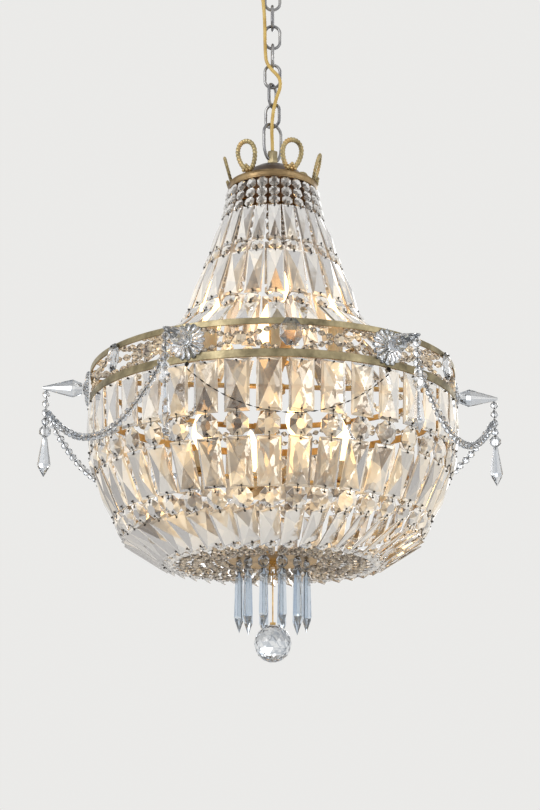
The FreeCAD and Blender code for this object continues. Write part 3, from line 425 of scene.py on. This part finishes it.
CLOUDS = (38.0, 5.0, 0.62)      # scale, detail and roughness of a metal's patina
SCRATCHES = (420.0, 3.0)        # scale and detail of its fine grain
GRAIN_DEPTH = 0.0006
PAINTED_GLOW_FOOT, PAINTED_GLOW_FOOT_EDGE = -0.26, 0.09     # heights over the lower ring where the painted warm lamp glow on the crystals starts
PAINTED_GLOW_TOP, PAINTED_GLOW_TOP_EDGE = 0.15, 0.16        # and ends, each with the height over which it changes
EDGE_ANGLE = 38


def metal(name, dark, light, bright, rough, grain, worn=0.5):
    """Metal with darker patina in the clouds, bright wear in patches and fine scratches."""
    made = Finish(name, Metallic=1.0)
    clouds, fine = made.noise(*CLOUDS), made.noise(*SCRATCHES)
    body = made.ramp(clouds, (0.30, dark), (worn, light), (0.74, bright))
    made.set("Base Color", made.mix(fine * 0.35, body, (*dark, 1.0)))
    made.set("Roughness", rough + (fine - 0.5) * 0.22 + (clouds - 0.5) * -0.18)
    made.bump(fine + clouds * 0.6, grain, GRAIN_DEPTH)
    return made.material


def crystal(name, dark, light, lit, rough, glow=0.0, clear=0.94):
    """Cut glass: painted reflections that run from dark to light by facet, a little wavy, and painted warm
    lamp light near the lamps, with a painted glow in its emission when glow is given.
    """
    made = Finish(name, IOR=1.52, Transmission_Weight=clear, Emission_Strength=1.0 if glow else 0.0)
    # Painted lamp light: a band of height about the lamps, in random patches, turns the colour towards the
    # warm lit colour
    height = made.axes()[2] - ring_z
    ended = (height - PAINTED_GLOW_TOP).clamp(0.0, PAINTED_GLOW_TOP_EDGE)
    warm = (height - PAINTED_GLOW_FOOT).clamp(0.0, PAINTED_GLOW_FOOT_EDGE) * (1 - ended)
    # Painted reflections: each facet's tone by its normal, between the dark and the light colour
    painted_reflection_tone = made.facets((9.0, 5.0, 13.0), (-7.0, 11.0, 6.0)).clamp(0.16, 0.76)
    wave = made.noise(70.0, 2.0)
    patch = made.node("SeparateColor", {}, made.cells(46.0, out="Color"))
    painted_lamp_glow = warm * (0.35 + 0.65 * patch)
    bright = made.mix(painted_lamp_glow, (*light, 1.0), (*lit, 1.0))
    made.set("Base Color", made.mix(painted_reflection_tone, (*dark, 1.0), bright))
    made.set("Roughness", rough + (wave - 0.5) * 0.03)
    # Painted glow: the crystal emits warm light in the same band, though it is no lamp
    if glow:
        made.set("Emission Color", made.mix((painted_lamp_glow * glow * painted_reflection_tone).clamp(0.0, 1.0), (0.0, 0.0, 0.0, 1.0),
                                            (1.0, 0.78, 0.50, 1.0)))
    made.bump(wave, 0.10, 0.0015)
    return made.material


ring_z = sum(corner.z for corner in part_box("lower_ring")) / 2

brass = metal("aged_brass", (0.12, 0.10, 0.06), (0.36, 0.30, 0.18), (0.60, 0.50, 0.30), 0.42, 0.25)
gilt = metal("gilt_brass", (0.30, 0.17, 0.06), (0.70, 0.44, 0.16), (0.95, 0.66, 0.28), 0.30, 0.15)
bow_gilt = metal("bow_gilt", (0.16, 0.12, 0.06), (0.55, 0.45, 0.24), (0.84, 0.49, 0.18), 0.38, 0.35, 0.50)
steel = metal("plated_steel", (0.10, 0.10, 0.11), (0.34, 0.34, 0.35), (0.62, 0.61, 0.59), 0.27, 0.2)
zinc = metal("zinc_steel", (0.34, 0.35, 0.36), (0.58, 0.60, 0.61), (0.74, 0.76, 0.76), 0.45, 0.2)
pin_wire = metal("pin_wire", (0.015, 0.013, 0.012), (0.05, 0.045, 0.04), (0.16, 0.14, 0.12), 0.45, 0.1)
# Crystal finishes: painted dark and light facet reflections, a painted lamp-lit colour near the lamps, and on
# the first a painted warm glow
crystal_with_painted_glow = crystal("crystal_with_painted_glow", (0.24, 0.20, 0.17), (0.76, 0.73, 0.69), (1.0, 0.86, 0.64), 0.02,
                      glow=0.36, clear=0.62)
clear_crystal = crystal("clear_crystal", (0.50, 0.55, 0.62), (0.96, 0.98, 1.0), (0.97, 0.97, 0.97), 0.015,
                        clear=0.92)
cool_crystal = crystal("cool_crystal", (0.62, 0.72, 0.86), (0.94, 0.98, 1.0), (0.94, 0.98, 1.0), 0.015,
                       clear=0.88)


def zoned_metal(name, edge, inner, outer, rough):
    """Metal that changes at a radius from the Z axis, each zone with dark, middle and bright stops."""
    made = Finish(name, Metallic=1.0)
    x, y, _ = made.axes()
    clouds, fine = made.noise(*CLOUDS), made.noise(*SCRATCHES)
    zone = ((x * x + y * y) ** 0.5).clamp(*edge)
    colours = [made.ramp(clouds, *zip((0.30, 0.50, 0.72), stops)) for stops in (inner, outer)]
    made.set("Base Color", made.mix(fine * 0.3, made.mix(zone, *colours), (*outer[0], 1.0)))
    made.set("Roughness", rough + (fine - 0.5) * 0.2 + (clouds - 0.5) * -0.16)
    made.bump(fine + clouds * 0.6, 0.28, GRAIN_DEPTH)
    return made.material


bronze = zoned_metal("crown_bronze", (0.049, 0.053),
                     ((0.03, 0.022, 0.02), (0.09, 0.062, 0.048), (0.17, 0.12, 0.085)),
                     ((0.13, 0.085, 0.045), (0.36, 0.25, 0.13), (0.68, 0.50, 0.27)), 0.37)
ring_brass = zoned_metal("ring_brass", (0.2412, 0.2422),
                         ((0.34, 0.17, 0.05), (0.70, 0.39, 0.12), (0.95, 0.60, 0.24)),
                         ((0.13, 0.11, 0.065), (0.36, 0.30, 0.18), (0.60, 0.51, 0.31)), 0.40)


def card():
    """Ivory card sleeve with faint mottling."""
    made = Finish("ivory_card", Subsurface_Weight=0.2, Subsurface_Radius=(0.006, 0.004, 0.002))
    clouds = made.noise(30.0, 4.0)
    made.set("Base Color", made.ramp(clouds, (0.3, (0.60, 0.47, 0.29)), (0.7, (0.80, 0.68, 0.47))))
    made.set("Roughness", 0.45 + clouds * 0.25)
    made.bump(clouds, 0.1, 0.0005)
    return made.material


def lamp_glass():
    """Glass of a lit bulb, whose warm glow varies in soft clouds."""
    made = Finish("bulb_glass", Emission_Strength=3.4, Roughness=0.2)
    clouds = made.noise(60.0, 2.0)
    made.set("Base Color", made.ramp(clouds, (0.3, (0.95, 0.85, 0.65)), (0.7, (1.0, 0.92, 0.75))))
    made.set("Emission Color", made.ramp(clouds, (0.3, (1.0, 0.56, 0.22)), (0.7, (1.0, 0.68, 0.34))))
    return made.material


def sheath():
    """Golden flex: mottled gold under a thin coat."""
    made = Finish("flex_sheath", Coat_Weight=0.5, Coat_Roughness=0.2)
    clouds = made.noise(60.0, 3.0)
    made.set("Base Color", made.ramp(clouds, (0.25, (0.46, 0.27, 0.05)), (0.5, (0.72, 0.47, 0.10)),
                                     (0.8, (0.88, 0.66, 0.24))))
    made.set("Roughness", 0.30 + clouds * 0.2)
    made.bump(clouds, 0.2, GRAIN_DEPTH)
    return made.material


ivory, bulb_glass, golden_sheath = card(), lamp_glass(), sheath()


def piece(name, form, material, body="fixture", instead=(), smooth=False):
    """One object of the visual model from a form."""
    loops = np.concatenate([group.ravel() for group in form.faces])
    sizes = np.concatenate([np.full(len(group), group.shape[1]) for group in form.faces])
    mesh = bpy.data.meshes.new(name)
    mesh.vertices.add(len(form.points))
    mesh.vertices.foreach_set("co", form.points.ravel())
    mesh.loops.add(len(loops))
    mesh.loops.foreach_set("vertex_index", loops)
    mesh.polygons.add(len(sizes))
    mesh.polygons.foreach_set("loop_start", np.concatenate([[0], np.cumsum(sizes)[:-1]]))
    mesh.polygons.foreach_set("use_smooth", np.full(len(sizes), smooth))
    mesh.update(calc_edges=True)
    mesh.materials.append(material)
    made = bpy.data.objects.new(name, mesh)
    bpy.context.scene.collection.objects.link(made)
    if smooth:
        edges = made.modifiers.new("sharp_edges", "EDGE_SPLIT")
        edges.split_angle = math.radians(EDGE_ANGLE)
    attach(made, body)
    if instead:
        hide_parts(*instead)
    return made


# Camera and the flex first

CAMERA_PLACE = (-0.0036, -2.1578, -1.3457)
CAMERA_TILT = 106.0
LENS = 74.87

camera = bpy.data.objects.new("camera", bpy.data.cameras.new("camera"))
bpy.context.scene.collection.objects.link(camera)
camera.location = CAMERA_PLACE
camera.rotation_euler = (math.radians(CAMERA_TILT), 0.0, 0.0)
camera.data.lens = LENS
camera.data.sensor_width = 36.0
camera.data.clip_end = 50.0
bpy.context.scene.camera = camera

CORD_DIAMETER = 5 * MM
CORD_ROUTE = [(0, 0, -52.9), (-0.8, -2.5, -63.0), (-8.0, -15.0, -76.5), (-13.5, -14.0, -98.0),
              (-14.8, -6.8, -118.3), (-11.0, -6.8, -153.8), (-10.5, -6.8, -210.3), (-8.0, -6.8, -231.0),
              (15.0, -6.8, -254.0), (2.5, -8.5, -290.0), (-1.5, -7.8, -325.8), (0, 0, -351.9), (0, 0, -385.4)]


def flex():
    """Golden flex through the chain, as one smooth curve by its route."""
    curve = bpy.data.curves.new("flex_cord", "CURVE")
    curve.dimensions = "3D"
    curve.bevel_depth = CORD_DIAMETER / 2
    curve.bevel_resolution = 3
    curve.resolution_u = 10
    curve.use_fill_caps = True
    line = curve.splines.new("NURBS")
    line.points.add(len(CORD_ROUTE) - 1)
    for point, corner in zip(line.points, CORD_ROUTE):
        point.co = (*[value * MM for value in corner], 1.0)
    line.order_u = 3
    line.use_endpoint_u = True
    curve.materials.append(golden_sheath)
    made = bpy.data.objects.new("flex_cord", curve)
    bpy.context.scene.collection.objects.link(made)
    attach(made, "fixture")
    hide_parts("flex")


flex()


# Finishes of the frame's own pieces

NODE_FINISHES = {
    brass: ["canopy", "screw_collar", "ceiling_loop", "nipple", "nipple_nut", "ring_posts"],
    gilt: ["spider", "lower_arms", "stem", "stem_nuts", "hub_rod", "hub_nut", "bottom_hub",
           "ball_hanger"],
    pin_wire: ["front_pin_chain"],
    zinc: ["ceiling_strap"],
    clear_crystal: ["spikes"],
    cool_crystal: ["icicles"],
}


def dress(node, material):
    """Gives a node of the frame its finish."""
    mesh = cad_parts[node].data
    if not mesh.materials:
        mesh.materials.append(material)
    for index in range(len(mesh.materials)):
        mesh.materials[index] = material


for finish, names in NODE_FINISHES.items():
    for name in names:
        dress(name, finish)


# Strands of the basket and the tent

BASKET_STRANDS = 39
TENT_STRANDS = 24
PIN_FROM_END = 3.4 * MM
PIN_RADIUS = 1.2 * MM
PIN_WIRE = 0.45 * MM
PIN_BACK, PIN_FRONT = -0.55, 0.75   # reach of a pin's head, in shares of the crystal's half depth
LINK_FRONT = 0.4                    # where the wire between two pins runs, in the same shares


def pin_points(seats, end, depth):
    """Points on the pins at the foot (-1) or top (1) of each crystal, at a share of its half depth."""
    reach = seats.half[:, 2:] - PIN_FROM_END
    return seats.middle + seats.along * end * reach + seats.deep * seats.half[:, 1:2] * depth


def pins(seats):
    """Pin heads through a crystal near each end."""
    return joined(*[rods(pin_points(seats, end, PIN_BACK), pin_points(seats, end, PIN_FRONT), PIN_RADIUS, 6)
                    for end in (-1, 1)])


def pin_links(upper, lower):
    """Wires in front from the lower pin of one crystal to the upper pin of the next on its strand."""
    return rods(pin_points(upper, -1, LINK_FRONT), pin_points(lower, 1, LINK_FRONT), PIN_WIRE)


def strands(name, rows, count):
    """Rows of crystals on their strands, with the pins that join them."""
    wires = []
    before = None
    for node, shape, copies in rows:
        seats = hanging_seats(node, count * copies).upright()
        piece(node + "_cut", shape.at(seats, half=True), crystal_with_painted_glow, instead=[node])
        wires.append(pins(seats))
        for copy in range(copies):
            row = seats.part(slice(copy * count, (copy + 1) * count))
            if before is not None:
                wires.append(pin_links(before, row))
            before = row
    piece(name + "_pins", joined(*wires), pin_wire)


bar, octagon = bar_cut(), disc_cut(8)
strands("basket", [("basket_upper_bars", bar, 1), ("basket_upper_octagons", octagon, 1),
                   ("basket_middle_bars", bar, 1), ("basket_lower_octagons", octagon, 1),
                   ("basket_floor_bars", bar, 1), ("basket_floor_octagons", octagon, 1)], BASKET_STRANDS)
strands("tent", [("tent_collar_crystals", octagon, 3), ("tent_upper_bars", bar, 1),
                 ("tent_upper_octagons", octagon, 1), ("tent_middle_bars", bar, 1),
                 ("tent_lower_octagons", octagon, 1), ("tent_foot_bars", bar, 1)], TENT_STRANDS)


# Strings of beads and loose crystals

def beads(node, count, each, material, fill=0.96):
    """Each long bead of the frame as `each` round beads in line, on a wire from end to end."""
    seats = string_seats(node, count)
    half = seats.half[:, 2:]
    wide = seats.half[:, :2].max(axis=1, keepdims=True)
    steps = []
    for index in range(each):
        middle = seats.middle + seats.along * half * ((2 * index + 1) / each - 1)
        reach = np.minimum(half / each * fill, wide * 1.15)
        sizes = np.concatenate([np.minimum(wide, reach * 1.1)] * 2 + [reach], 1)
        row = Seats(middle, seats.across, seats.deep, seats.along, sizes)
        steps.append(bead_cut().at(row, half=True))
    piece(node + "_cut", joined(*steps), material, instead=[node])
    reach = seats.along * half
    piece(node + "_wire", rods(seats.middle - reach, seats.middle + reach, PIN_WIRE), pin_wire)


beads("festoon_beads", 130, 1, clear_crystal, fill=0.86)
beads("tip_beads", 18, 1, clear_crystal, fill=0.88)
beads("lattice_beads", 96, 2, crystal_with_painted_glow)
beads("basket_end_beads", 78, 2, crystal_with_painted_glow)
beads("tent_foot_beads", 48, 3, crystal_with_painted_glow)
for node, count, material in (("panel_octagons", 6, clear_crystal), ("lattice_octagons", 12, crystal_with_painted_glow),
                              ("icicle_octagons", 12, clear_crystal)):
    seats = hanging_seats(node, count)
    piece(node + "_cut", octagon.at(seats, half=True), material, instead=[node])
    piece(node + "_pins", pins(seats), pin_wire)


SIDE_PENDANTS = (2, 5)     # these two face the front, and the others face outwards


def pendants():
    """Bead, octagon and drop under each spike.

    The drop is an eight-sided rod whose rings swell from a narrow neck to a belly and close to a point.
    """
    rings = [(0.32, 1.0), (0.38, 0.93), (1.0, -0.38), (0.92, -0.48), (0.03, -1.0)]
    ring = round_section(1.0, 8)
    drop = grid(np.stack([np.column_stack([ring * share, np.full(8, height)]) for share, height in rings]))
    bead, hole = bead_cut(8), 1.5 * MM
    bead_half, octagon_half, drop_half = np.array([(5.2, 5.2, 5.5), (7.5, 4, 7.5), (8.7, 5.8, 26.5)]) * MM
    octagon_below_top, wire_end_above_tip = 19 * MM, 49 * MM
    for index in range(6):
        node = "pendant_%d" % (index + 1)
        low, high = (np.array(corner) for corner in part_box(node))
        middle = (low + high) / 2
        outwards = unit(middle * [1, 1, 0])
        level = np.cross(UP, outwards)
        across, deep = (outwards, level) if index in SIDE_PENDANTS else (level, outwards)
        made = []
        for form, height, half in ((bead, high[2] - bead_half[2], bead_half),
                                   (octagon, high[2] - octagon_below_top, octagon_half),
                                   (drop, low[2] + drop_half[2], drop_half)):
            place = middle * [1, 1, 0] + UP * height
            seat = Seats(*(np.array([value]) for value in (place, across, deep, UP, half)))
            made.append(form.at(seat, half=True))
        piece(node + "_cut", joined(*made), clear_crystal, node, [node])
        top, foot = (middle * [1, 1, 0] + UP * height for height in
                     (high[2] - hole, low[2] + wire_end_above_tip))
        piece(node + "_wire", rods(top[None], foot[None], PIN_WIRE), pin_wire, node)


pendants()


def crystal_ball():
    """Cut ball: circles at even angles from pole to pole, each turned by half a step."""
    low, high = (np.array(corner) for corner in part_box("ball"))
    sides, rows = 14, 9
    middle = (low + high) / 2
    tilt = math.pi * ((np.arange(rows) + 0.5) / rows - 0.5)
    angle = TURN * (np.arange(sides)[None] + np.arange(rows)[:, None] / 2) / sides
    reach = (high[2] - low[2]) / 2 / math.sin(tilt[-1])
    radius = reach * np.cos(tilt)[:, None]
    points = np.stack([radius * np.cos(angle), radius * np.sin(angle),
                       np.repeat(reach * np.sin(tilt)[:, None], sides, 1)], -1)
    piece("ball_cut", grid(points + middle, facets=True), clear_crystal, "ball", ["ball"])


crystal_ball()


def rosettes():
    """Pressed glass flower: sixteen ribbed petals round a pointed boss, flat behind.

    At angle a and share s of the way out, the rim is valley + (tip - valley) |cos 8a|^0.6 and the height
    is the boss's slope inside and a ridge that falls to the rim outside.
    """
    petals, samples = 16, 8
    points = solids("rosettes", 6)
    middle = points.mean(axis=1) * [1, 1, 0]
    outwards = unit(middle)
    level = np.cross(UP, outwards)
    radius, valley, thick = 23.5 * MM, 19.0 * MM, 9 * MM
    angle = TURN * np.arange(petals * samples) / (petals * samples)
    ridge = np.abs(np.cos(petals / 2 * angle)) ** 0.6
    rim = valley + (radius - valley) * ridge
    rows = []
    for share, level_in, level_out in (
            (1.0, 0.02, 0.02), (1.0, 0.22, 0.10), (0.93, 0.42, 0.20), (0.72, 0.62, 0.34),
            (0.50, 0.66, 0.42), (0.38, 0.60, 0.50), (0.34, 0.84, 0.84), (0.12, 1.0, 1.0)):
        lift = thick * (level_out + (level_in - level_out) * ridge)
        rows.append(np.stack([rim * share * np.cos(angle), rim * share * np.sin(angle), lift], -1))
    flower = grid(np.stack(rows))
    back, above_ring = 243.3 * MM, 20 * MM
    seats = Seats(outwards * back + UP * ring_z + UP * above_ring, level, np.cross(outwards, level), outwards,
                  np.ones((6, 3)))
    piece("rosettes_cut", flower.at(seats), clear_crystal, instead=["rosettes"])


rosettes()


# Lamps

def lamps():
    """Drip cups, card sleeves and lit candle bulbs, turned about their own axes at the eight lamps."""
    across, deep = np.tile([1.0, 0, 0], (8, 1)), np.tile([0, 1.0, 0], (8, 1))
    along = np.tile(UP, (8, 1))
    for node, outline, material, slot in (
            ("drip_cups", [(0, -1), (0.45, -1), (0.62, -0.4), (1.0, 0.8), (1.0, 1.0), (0.93, 1.0),
                           (0.6, -0.1), (0, -0.3)], gilt, "gilt_brass"),
            ("candles", [(0, -1), (0.98, -1), (1, -0.98), (1, 0.97), (0.93, 1), (0, 1)], ivory, "ivory_card"),
            ("bulbs", [(0, -1), (0.42, -1), (0.50, -0.86), (0.78, -0.62), (0.97, -0.36), (0.98, -0.16),
                       (0.86, 0.14), (0.62, 0.46), (0.34, 0.74), (0.14, 0.93), (0, 1)],
             bulb_glass, "bulb_glass")):
        seats = measured(solids(node, 8), across, deep, along)
        piece(node + "_fine", turned(outline, 28, closed=False).at(seats, half=True), material,
              instead=[node], smooth=True)


lamps()


# Metalwork

FRAME_RING_SIDES = 48
BAND_THICK = 2.5 * MM


def ring_band(node):
    """Plain band with eased edges carried round the circle."""
    low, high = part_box(node)
    outer = high.x / math.cos(math.pi / FRAME_RING_SIDES)
    inner = outer - BAND_THICK
    edge = 0.5 * MM
    outline = [(outer - edge, low.z), (outer, low.z + edge), (outer, high.z - edge), (outer - edge, high.z),
               (inner + edge, high.z), (inner, high.z - edge), (inner, low.z + edge), (inner + edge, low.z)]
    piece(node + "_fine", turned(outline, 240), ring_brass, instead=[node], smooth=True)


ring_band("upper_ring")
ring_band("lower_ring")

WIRE = 4.4 * MM


def links():
    """Chain links of round wire along an oval: half circles of radius a, with straight sides between."""
    for node, count in (("top_link", 1), ("chain_links", 7)):
        points = solids(node, count)
        flat = (points - points.mean(axis=1, keepdims=True))[:, :, :2]
        vectors = np.linalg.eigh(np.einsum("npk,npl->nkl", flat, flat))[1]
        across = np.concatenate([vectors[:, :, 1], np.zeros((count, 1))], 1)
        along = np.tile(UP, (count, 1))
        seats = measured(points, across, np.cross(along, across), along)
        wide, long = seats.half[0, 0] - WIRE / 2, seats.half[0, 2] - WIRE / 2
        angle = TURN * (np.arange(32) + 0.5) / 32
        height = wide * np.sin(angle) + (long - wide) * np.sign(np.sin(angle))
        path = np.stack([wide * np.cos(angle), 0 * angle, height], -1)
        link = swept(path, [0, 1, 0], round_section(WIRE / 2, 12))
        body = "top_link" if node == "top_link" else "fixture"
        piece(node + "_fine", link.at(seats), steel, body, [node], smooth=True)


links()


def crown():
    """Spun crown: a dome in two swells, a step, a rolled upper edge and a deep rim with a bead."""
    low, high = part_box("crown")
    top, foot = high.z, low.z
    outline = [(5.3, top, 0), (14, top, -1.0), (24, top, -5.2), (33, top, -10.8), (40.5, top, -15.6),
               (43, top, -18.5), (48.5, top, -25.5), (51.5, foot, 12.0), (54, foot, 11.3),
               (58, foot, 11.2), (61, foot, 10.6), (62, foot, 9.4), (61.2, foot, 8.2),
               (60.9, foot, 7.4), (60.9, foot, 3.0), (61.9, foot, 1.8), (61.9, foot, 0.4),
               (61.2, foot, 0), (60.2, foot, 0), (60.0, foot, 9.5), (50, foot, 10.0),
               (41.5, top, -19.5), (32, top, -12.6), (22, top, -6.6), (5.3, top, -2.2)]
    points = [(radius * MM, base + height * MM) for radius, base, height in outline]
    piece("crown_fine", turned(points, 96), bronze, instead=["crown"], smooth=True)


crown()


def bows():
    """Bow loops: an egg-shaped path with a rope-like band, and a heap of cut beads before each foot.

    The band's section is drawn out by 1 + 0.16 cos(3 (v + 9 u)) at angle u round the loop and v round
    the section.
    """
    seats = hanging_seats("bows", 6).upright()
    wide, _, high = seats.half[0]
    angle = TURN * np.arange(162) / 162
    thick, band = 3.2 * MM, 2.1 * MM
    narrow = 1 - 0.36 * (1 - np.sin(angle)) / 2
    path = np.stack([(wide - thick) * narrow * np.cos(angle), 0 * angle, (high - thick) * np.sin(angle)], -1)
    round_angle = TURN * np.arange(14) / 14
    twist = 1 + 0.16 * np.cos(3 * (round_angle + 9 * angle[:, None]))
    section = np.stack([thick * np.cos(round_angle) * twist, band * np.sin(round_angle) * twist], -1)
    loop = swept(path, [0, 1, 0], section)
    piece("bows_fine", loop.at(seats), bow_gilt, instead=["bows"], smooth=True)
    knots = solids("bow_knots", 36)
    outwards = unit(knots.mean(axis=1) * [1, 1, 0])
    ups = np.tile(UP, (36, 1))
    seats = measured(knots, np.cross(outwards, ups), outwards, ups)
    piece("bow_knots_cut", bead_cut(8, 0.45).at(seats, half=True), bow_gilt,
          instead=["bow_knots"])


bows()


def crown_loop():
    """Hexagon hub with a round foot, and a loop of round wire whose legs come down on both its sides."""
    low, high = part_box("crown_loop")
    hub_high = 20.5
    hub_top = low.z + hub_high * MM
    radius = 14.4 * MM
    rise = high.z - hub_top - radius - WIRE / 2
    angle = np.linspace(0, math.pi, 17)
    leg = np.array([[6.2, 0, -12.0], [8.6, 0, -10.4], [11.2, 0, -6.0], [13.2, 0, 0.5], [14.2, 0, 8.0]]) * MM
    arch = np.stack([radius * np.cos(angle), 0 * angle, rise + radius * np.sin(angle)], -1)
    path = np.concatenate([leg, arch, leg[::-1] * [-1, 1, 1]])
    loop = swept(path, [0, 1, 0], round_section(WIRE / 2, 12), closed=False)
    hexagon = [(0, -hub_high), (7.2, -hub_high), (7.5, -19.5), (7.5, -1), (6.9, 0), (0, 0)]
    foot = [(0, -hub_high), (9.2, -hub_high), (9.5, -20.1), (9.3, -18.1), (8, -17.5), (0, -17.5)]
    turn = math.radians(34)
    seat = Seats(np.array([[0, 0, hub_top]]), np.array([[math.cos(turn), math.sin(turn), 0]]),
                 np.array([[-math.sin(turn), math.cos(turn), 0]]), UP[None], np.ones((1, 3)))
    hub = joined(turned(np.array(hexagon) * MM, 6, closed=False),
                 turned(np.array(foot) * MM, 32, closed=False))
    piece("crown_loop_fine", loop.at(seat), steel, instead=["crown_loop"], smooth=True)
    piece("crown_hub_fine", hub.at(seat), brass, smooth=True)


crown_loop()


# Floor, backdrop and light

WORLD_LIGHT = 0.62
BACKGROUND = (0.83, 0.825, 0.81, 1.0)
FLOOR_BELOW = 0.9
FLOOR_HALF = 200.0


def pale_floor():
    """Plain floor far under the piece."""
    pale = Finish("pale_floor", Roughness=0.9)
    clouds = pale.noise(3.0, 2.0)
    pale.set("Base Color", pale.ramp(clouds, (0.3, (0.82, 0.81, 0.79)), (0.7, (0.84, 0.83, 0.81))))
    level = cad_box[0][2] - FLOOR_BELOW
    corners = [(x * FLOOR_HALF, y * FLOOR_HALF, level) for x, y in ((-1, -1), (1, -1), (1, 1), (-1, 1))]
    mesh = bpy.data.meshes.new("floor")
    mesh.from_pydata(corners, [], [(0, 1, 2, 3)])
    mesh.materials.append(pale.material)
    floor = bpy.data.objects.new("floor", mesh)
    bpy.context.scene.collection.objects.link(floor)


def pale_world():
    """World that lights evenly and is seen as a pale backdrop, also in metal and through glass."""
    world = bpy.data.worlds.new("studio")
    world.use_nodes = True
    bpy.context.scene.world = world
    tree = world.node_tree
    seen, lighting = tree.nodes["Background"], tree.nodes.new("ShaderNodeBackground")
    seen.inputs["Color"].default_value = BACKGROUND
    lighting.inputs["Color"].default_value = (1.0, 1.0, 1.0, 1.0)
    lighting.inputs["Strength"].default_value = WORLD_LIGHT
    rays, either, any_of = (tree.nodes.new(kind) for kind in
                            ("ShaderNodeLightPath", "ShaderNodeMath", "ShaderNodeMath"))
    for joint, first, second in ((either, rays.outputs["Is Camera Ray"], rays.outputs["Is Glossy Ray"]),
                                 (any_of, either.outputs[0], rays.outputs["Is Transmission Ray"])):
        joint.operation = "MAXIMUM"
        tree.links.new(first, joint.inputs[0])
        tree.links.new(second, joint.inputs[1])
    mix = tree.nodes.new("ShaderNodeMixShader")
    tree.links.new(any_of.outputs[0], mix.inputs[0])
    tree.links.new(lighting.outputs[0], mix.inputs[1])
    tree.links.new(seen.outputs[0], mix.inputs[2])
    tree.links.new(mix.outputs[0], tree.nodes["World Output"].inputs["Surface"])


def soft_lamps():
    """Three square lamps, each aimed at a point on the piece."""
    for name, place, aim, size, power in (
            ("key", (-2.2, -2.4, 0.6), (0, 0, -0.6), 1.6, 27.0),
            ("fill", (2.6, -1.8, -0.4), (0, 0, -0.7), 2.0, 11.0),
            ("rim", (0.8, 2.6, 0.4), (0, 0, -0.6), 1.6, 18.0)):
        light = bpy.data.lights.new(name, "AREA")
        light.energy = power
        light.size = size
        lamp = bpy.data.objects.new(name, light)
        bpy.context.scene.collection.objects.link(lamp)
        lamp.location = place
        direction = np.array(aim) - np.array(place)
        flat = math.hypot(direction[0], direction[1])
        heading = math.atan2(direction[0], -direction[1]) + math.pi
        lamp.rotation_euler = (math.atan2(flat, -direction[2]), 0.0, heading)


pale_floor()
pale_world()
soft_lamps()

bpy.context.scene.view_settings.view_transform = "Standard"
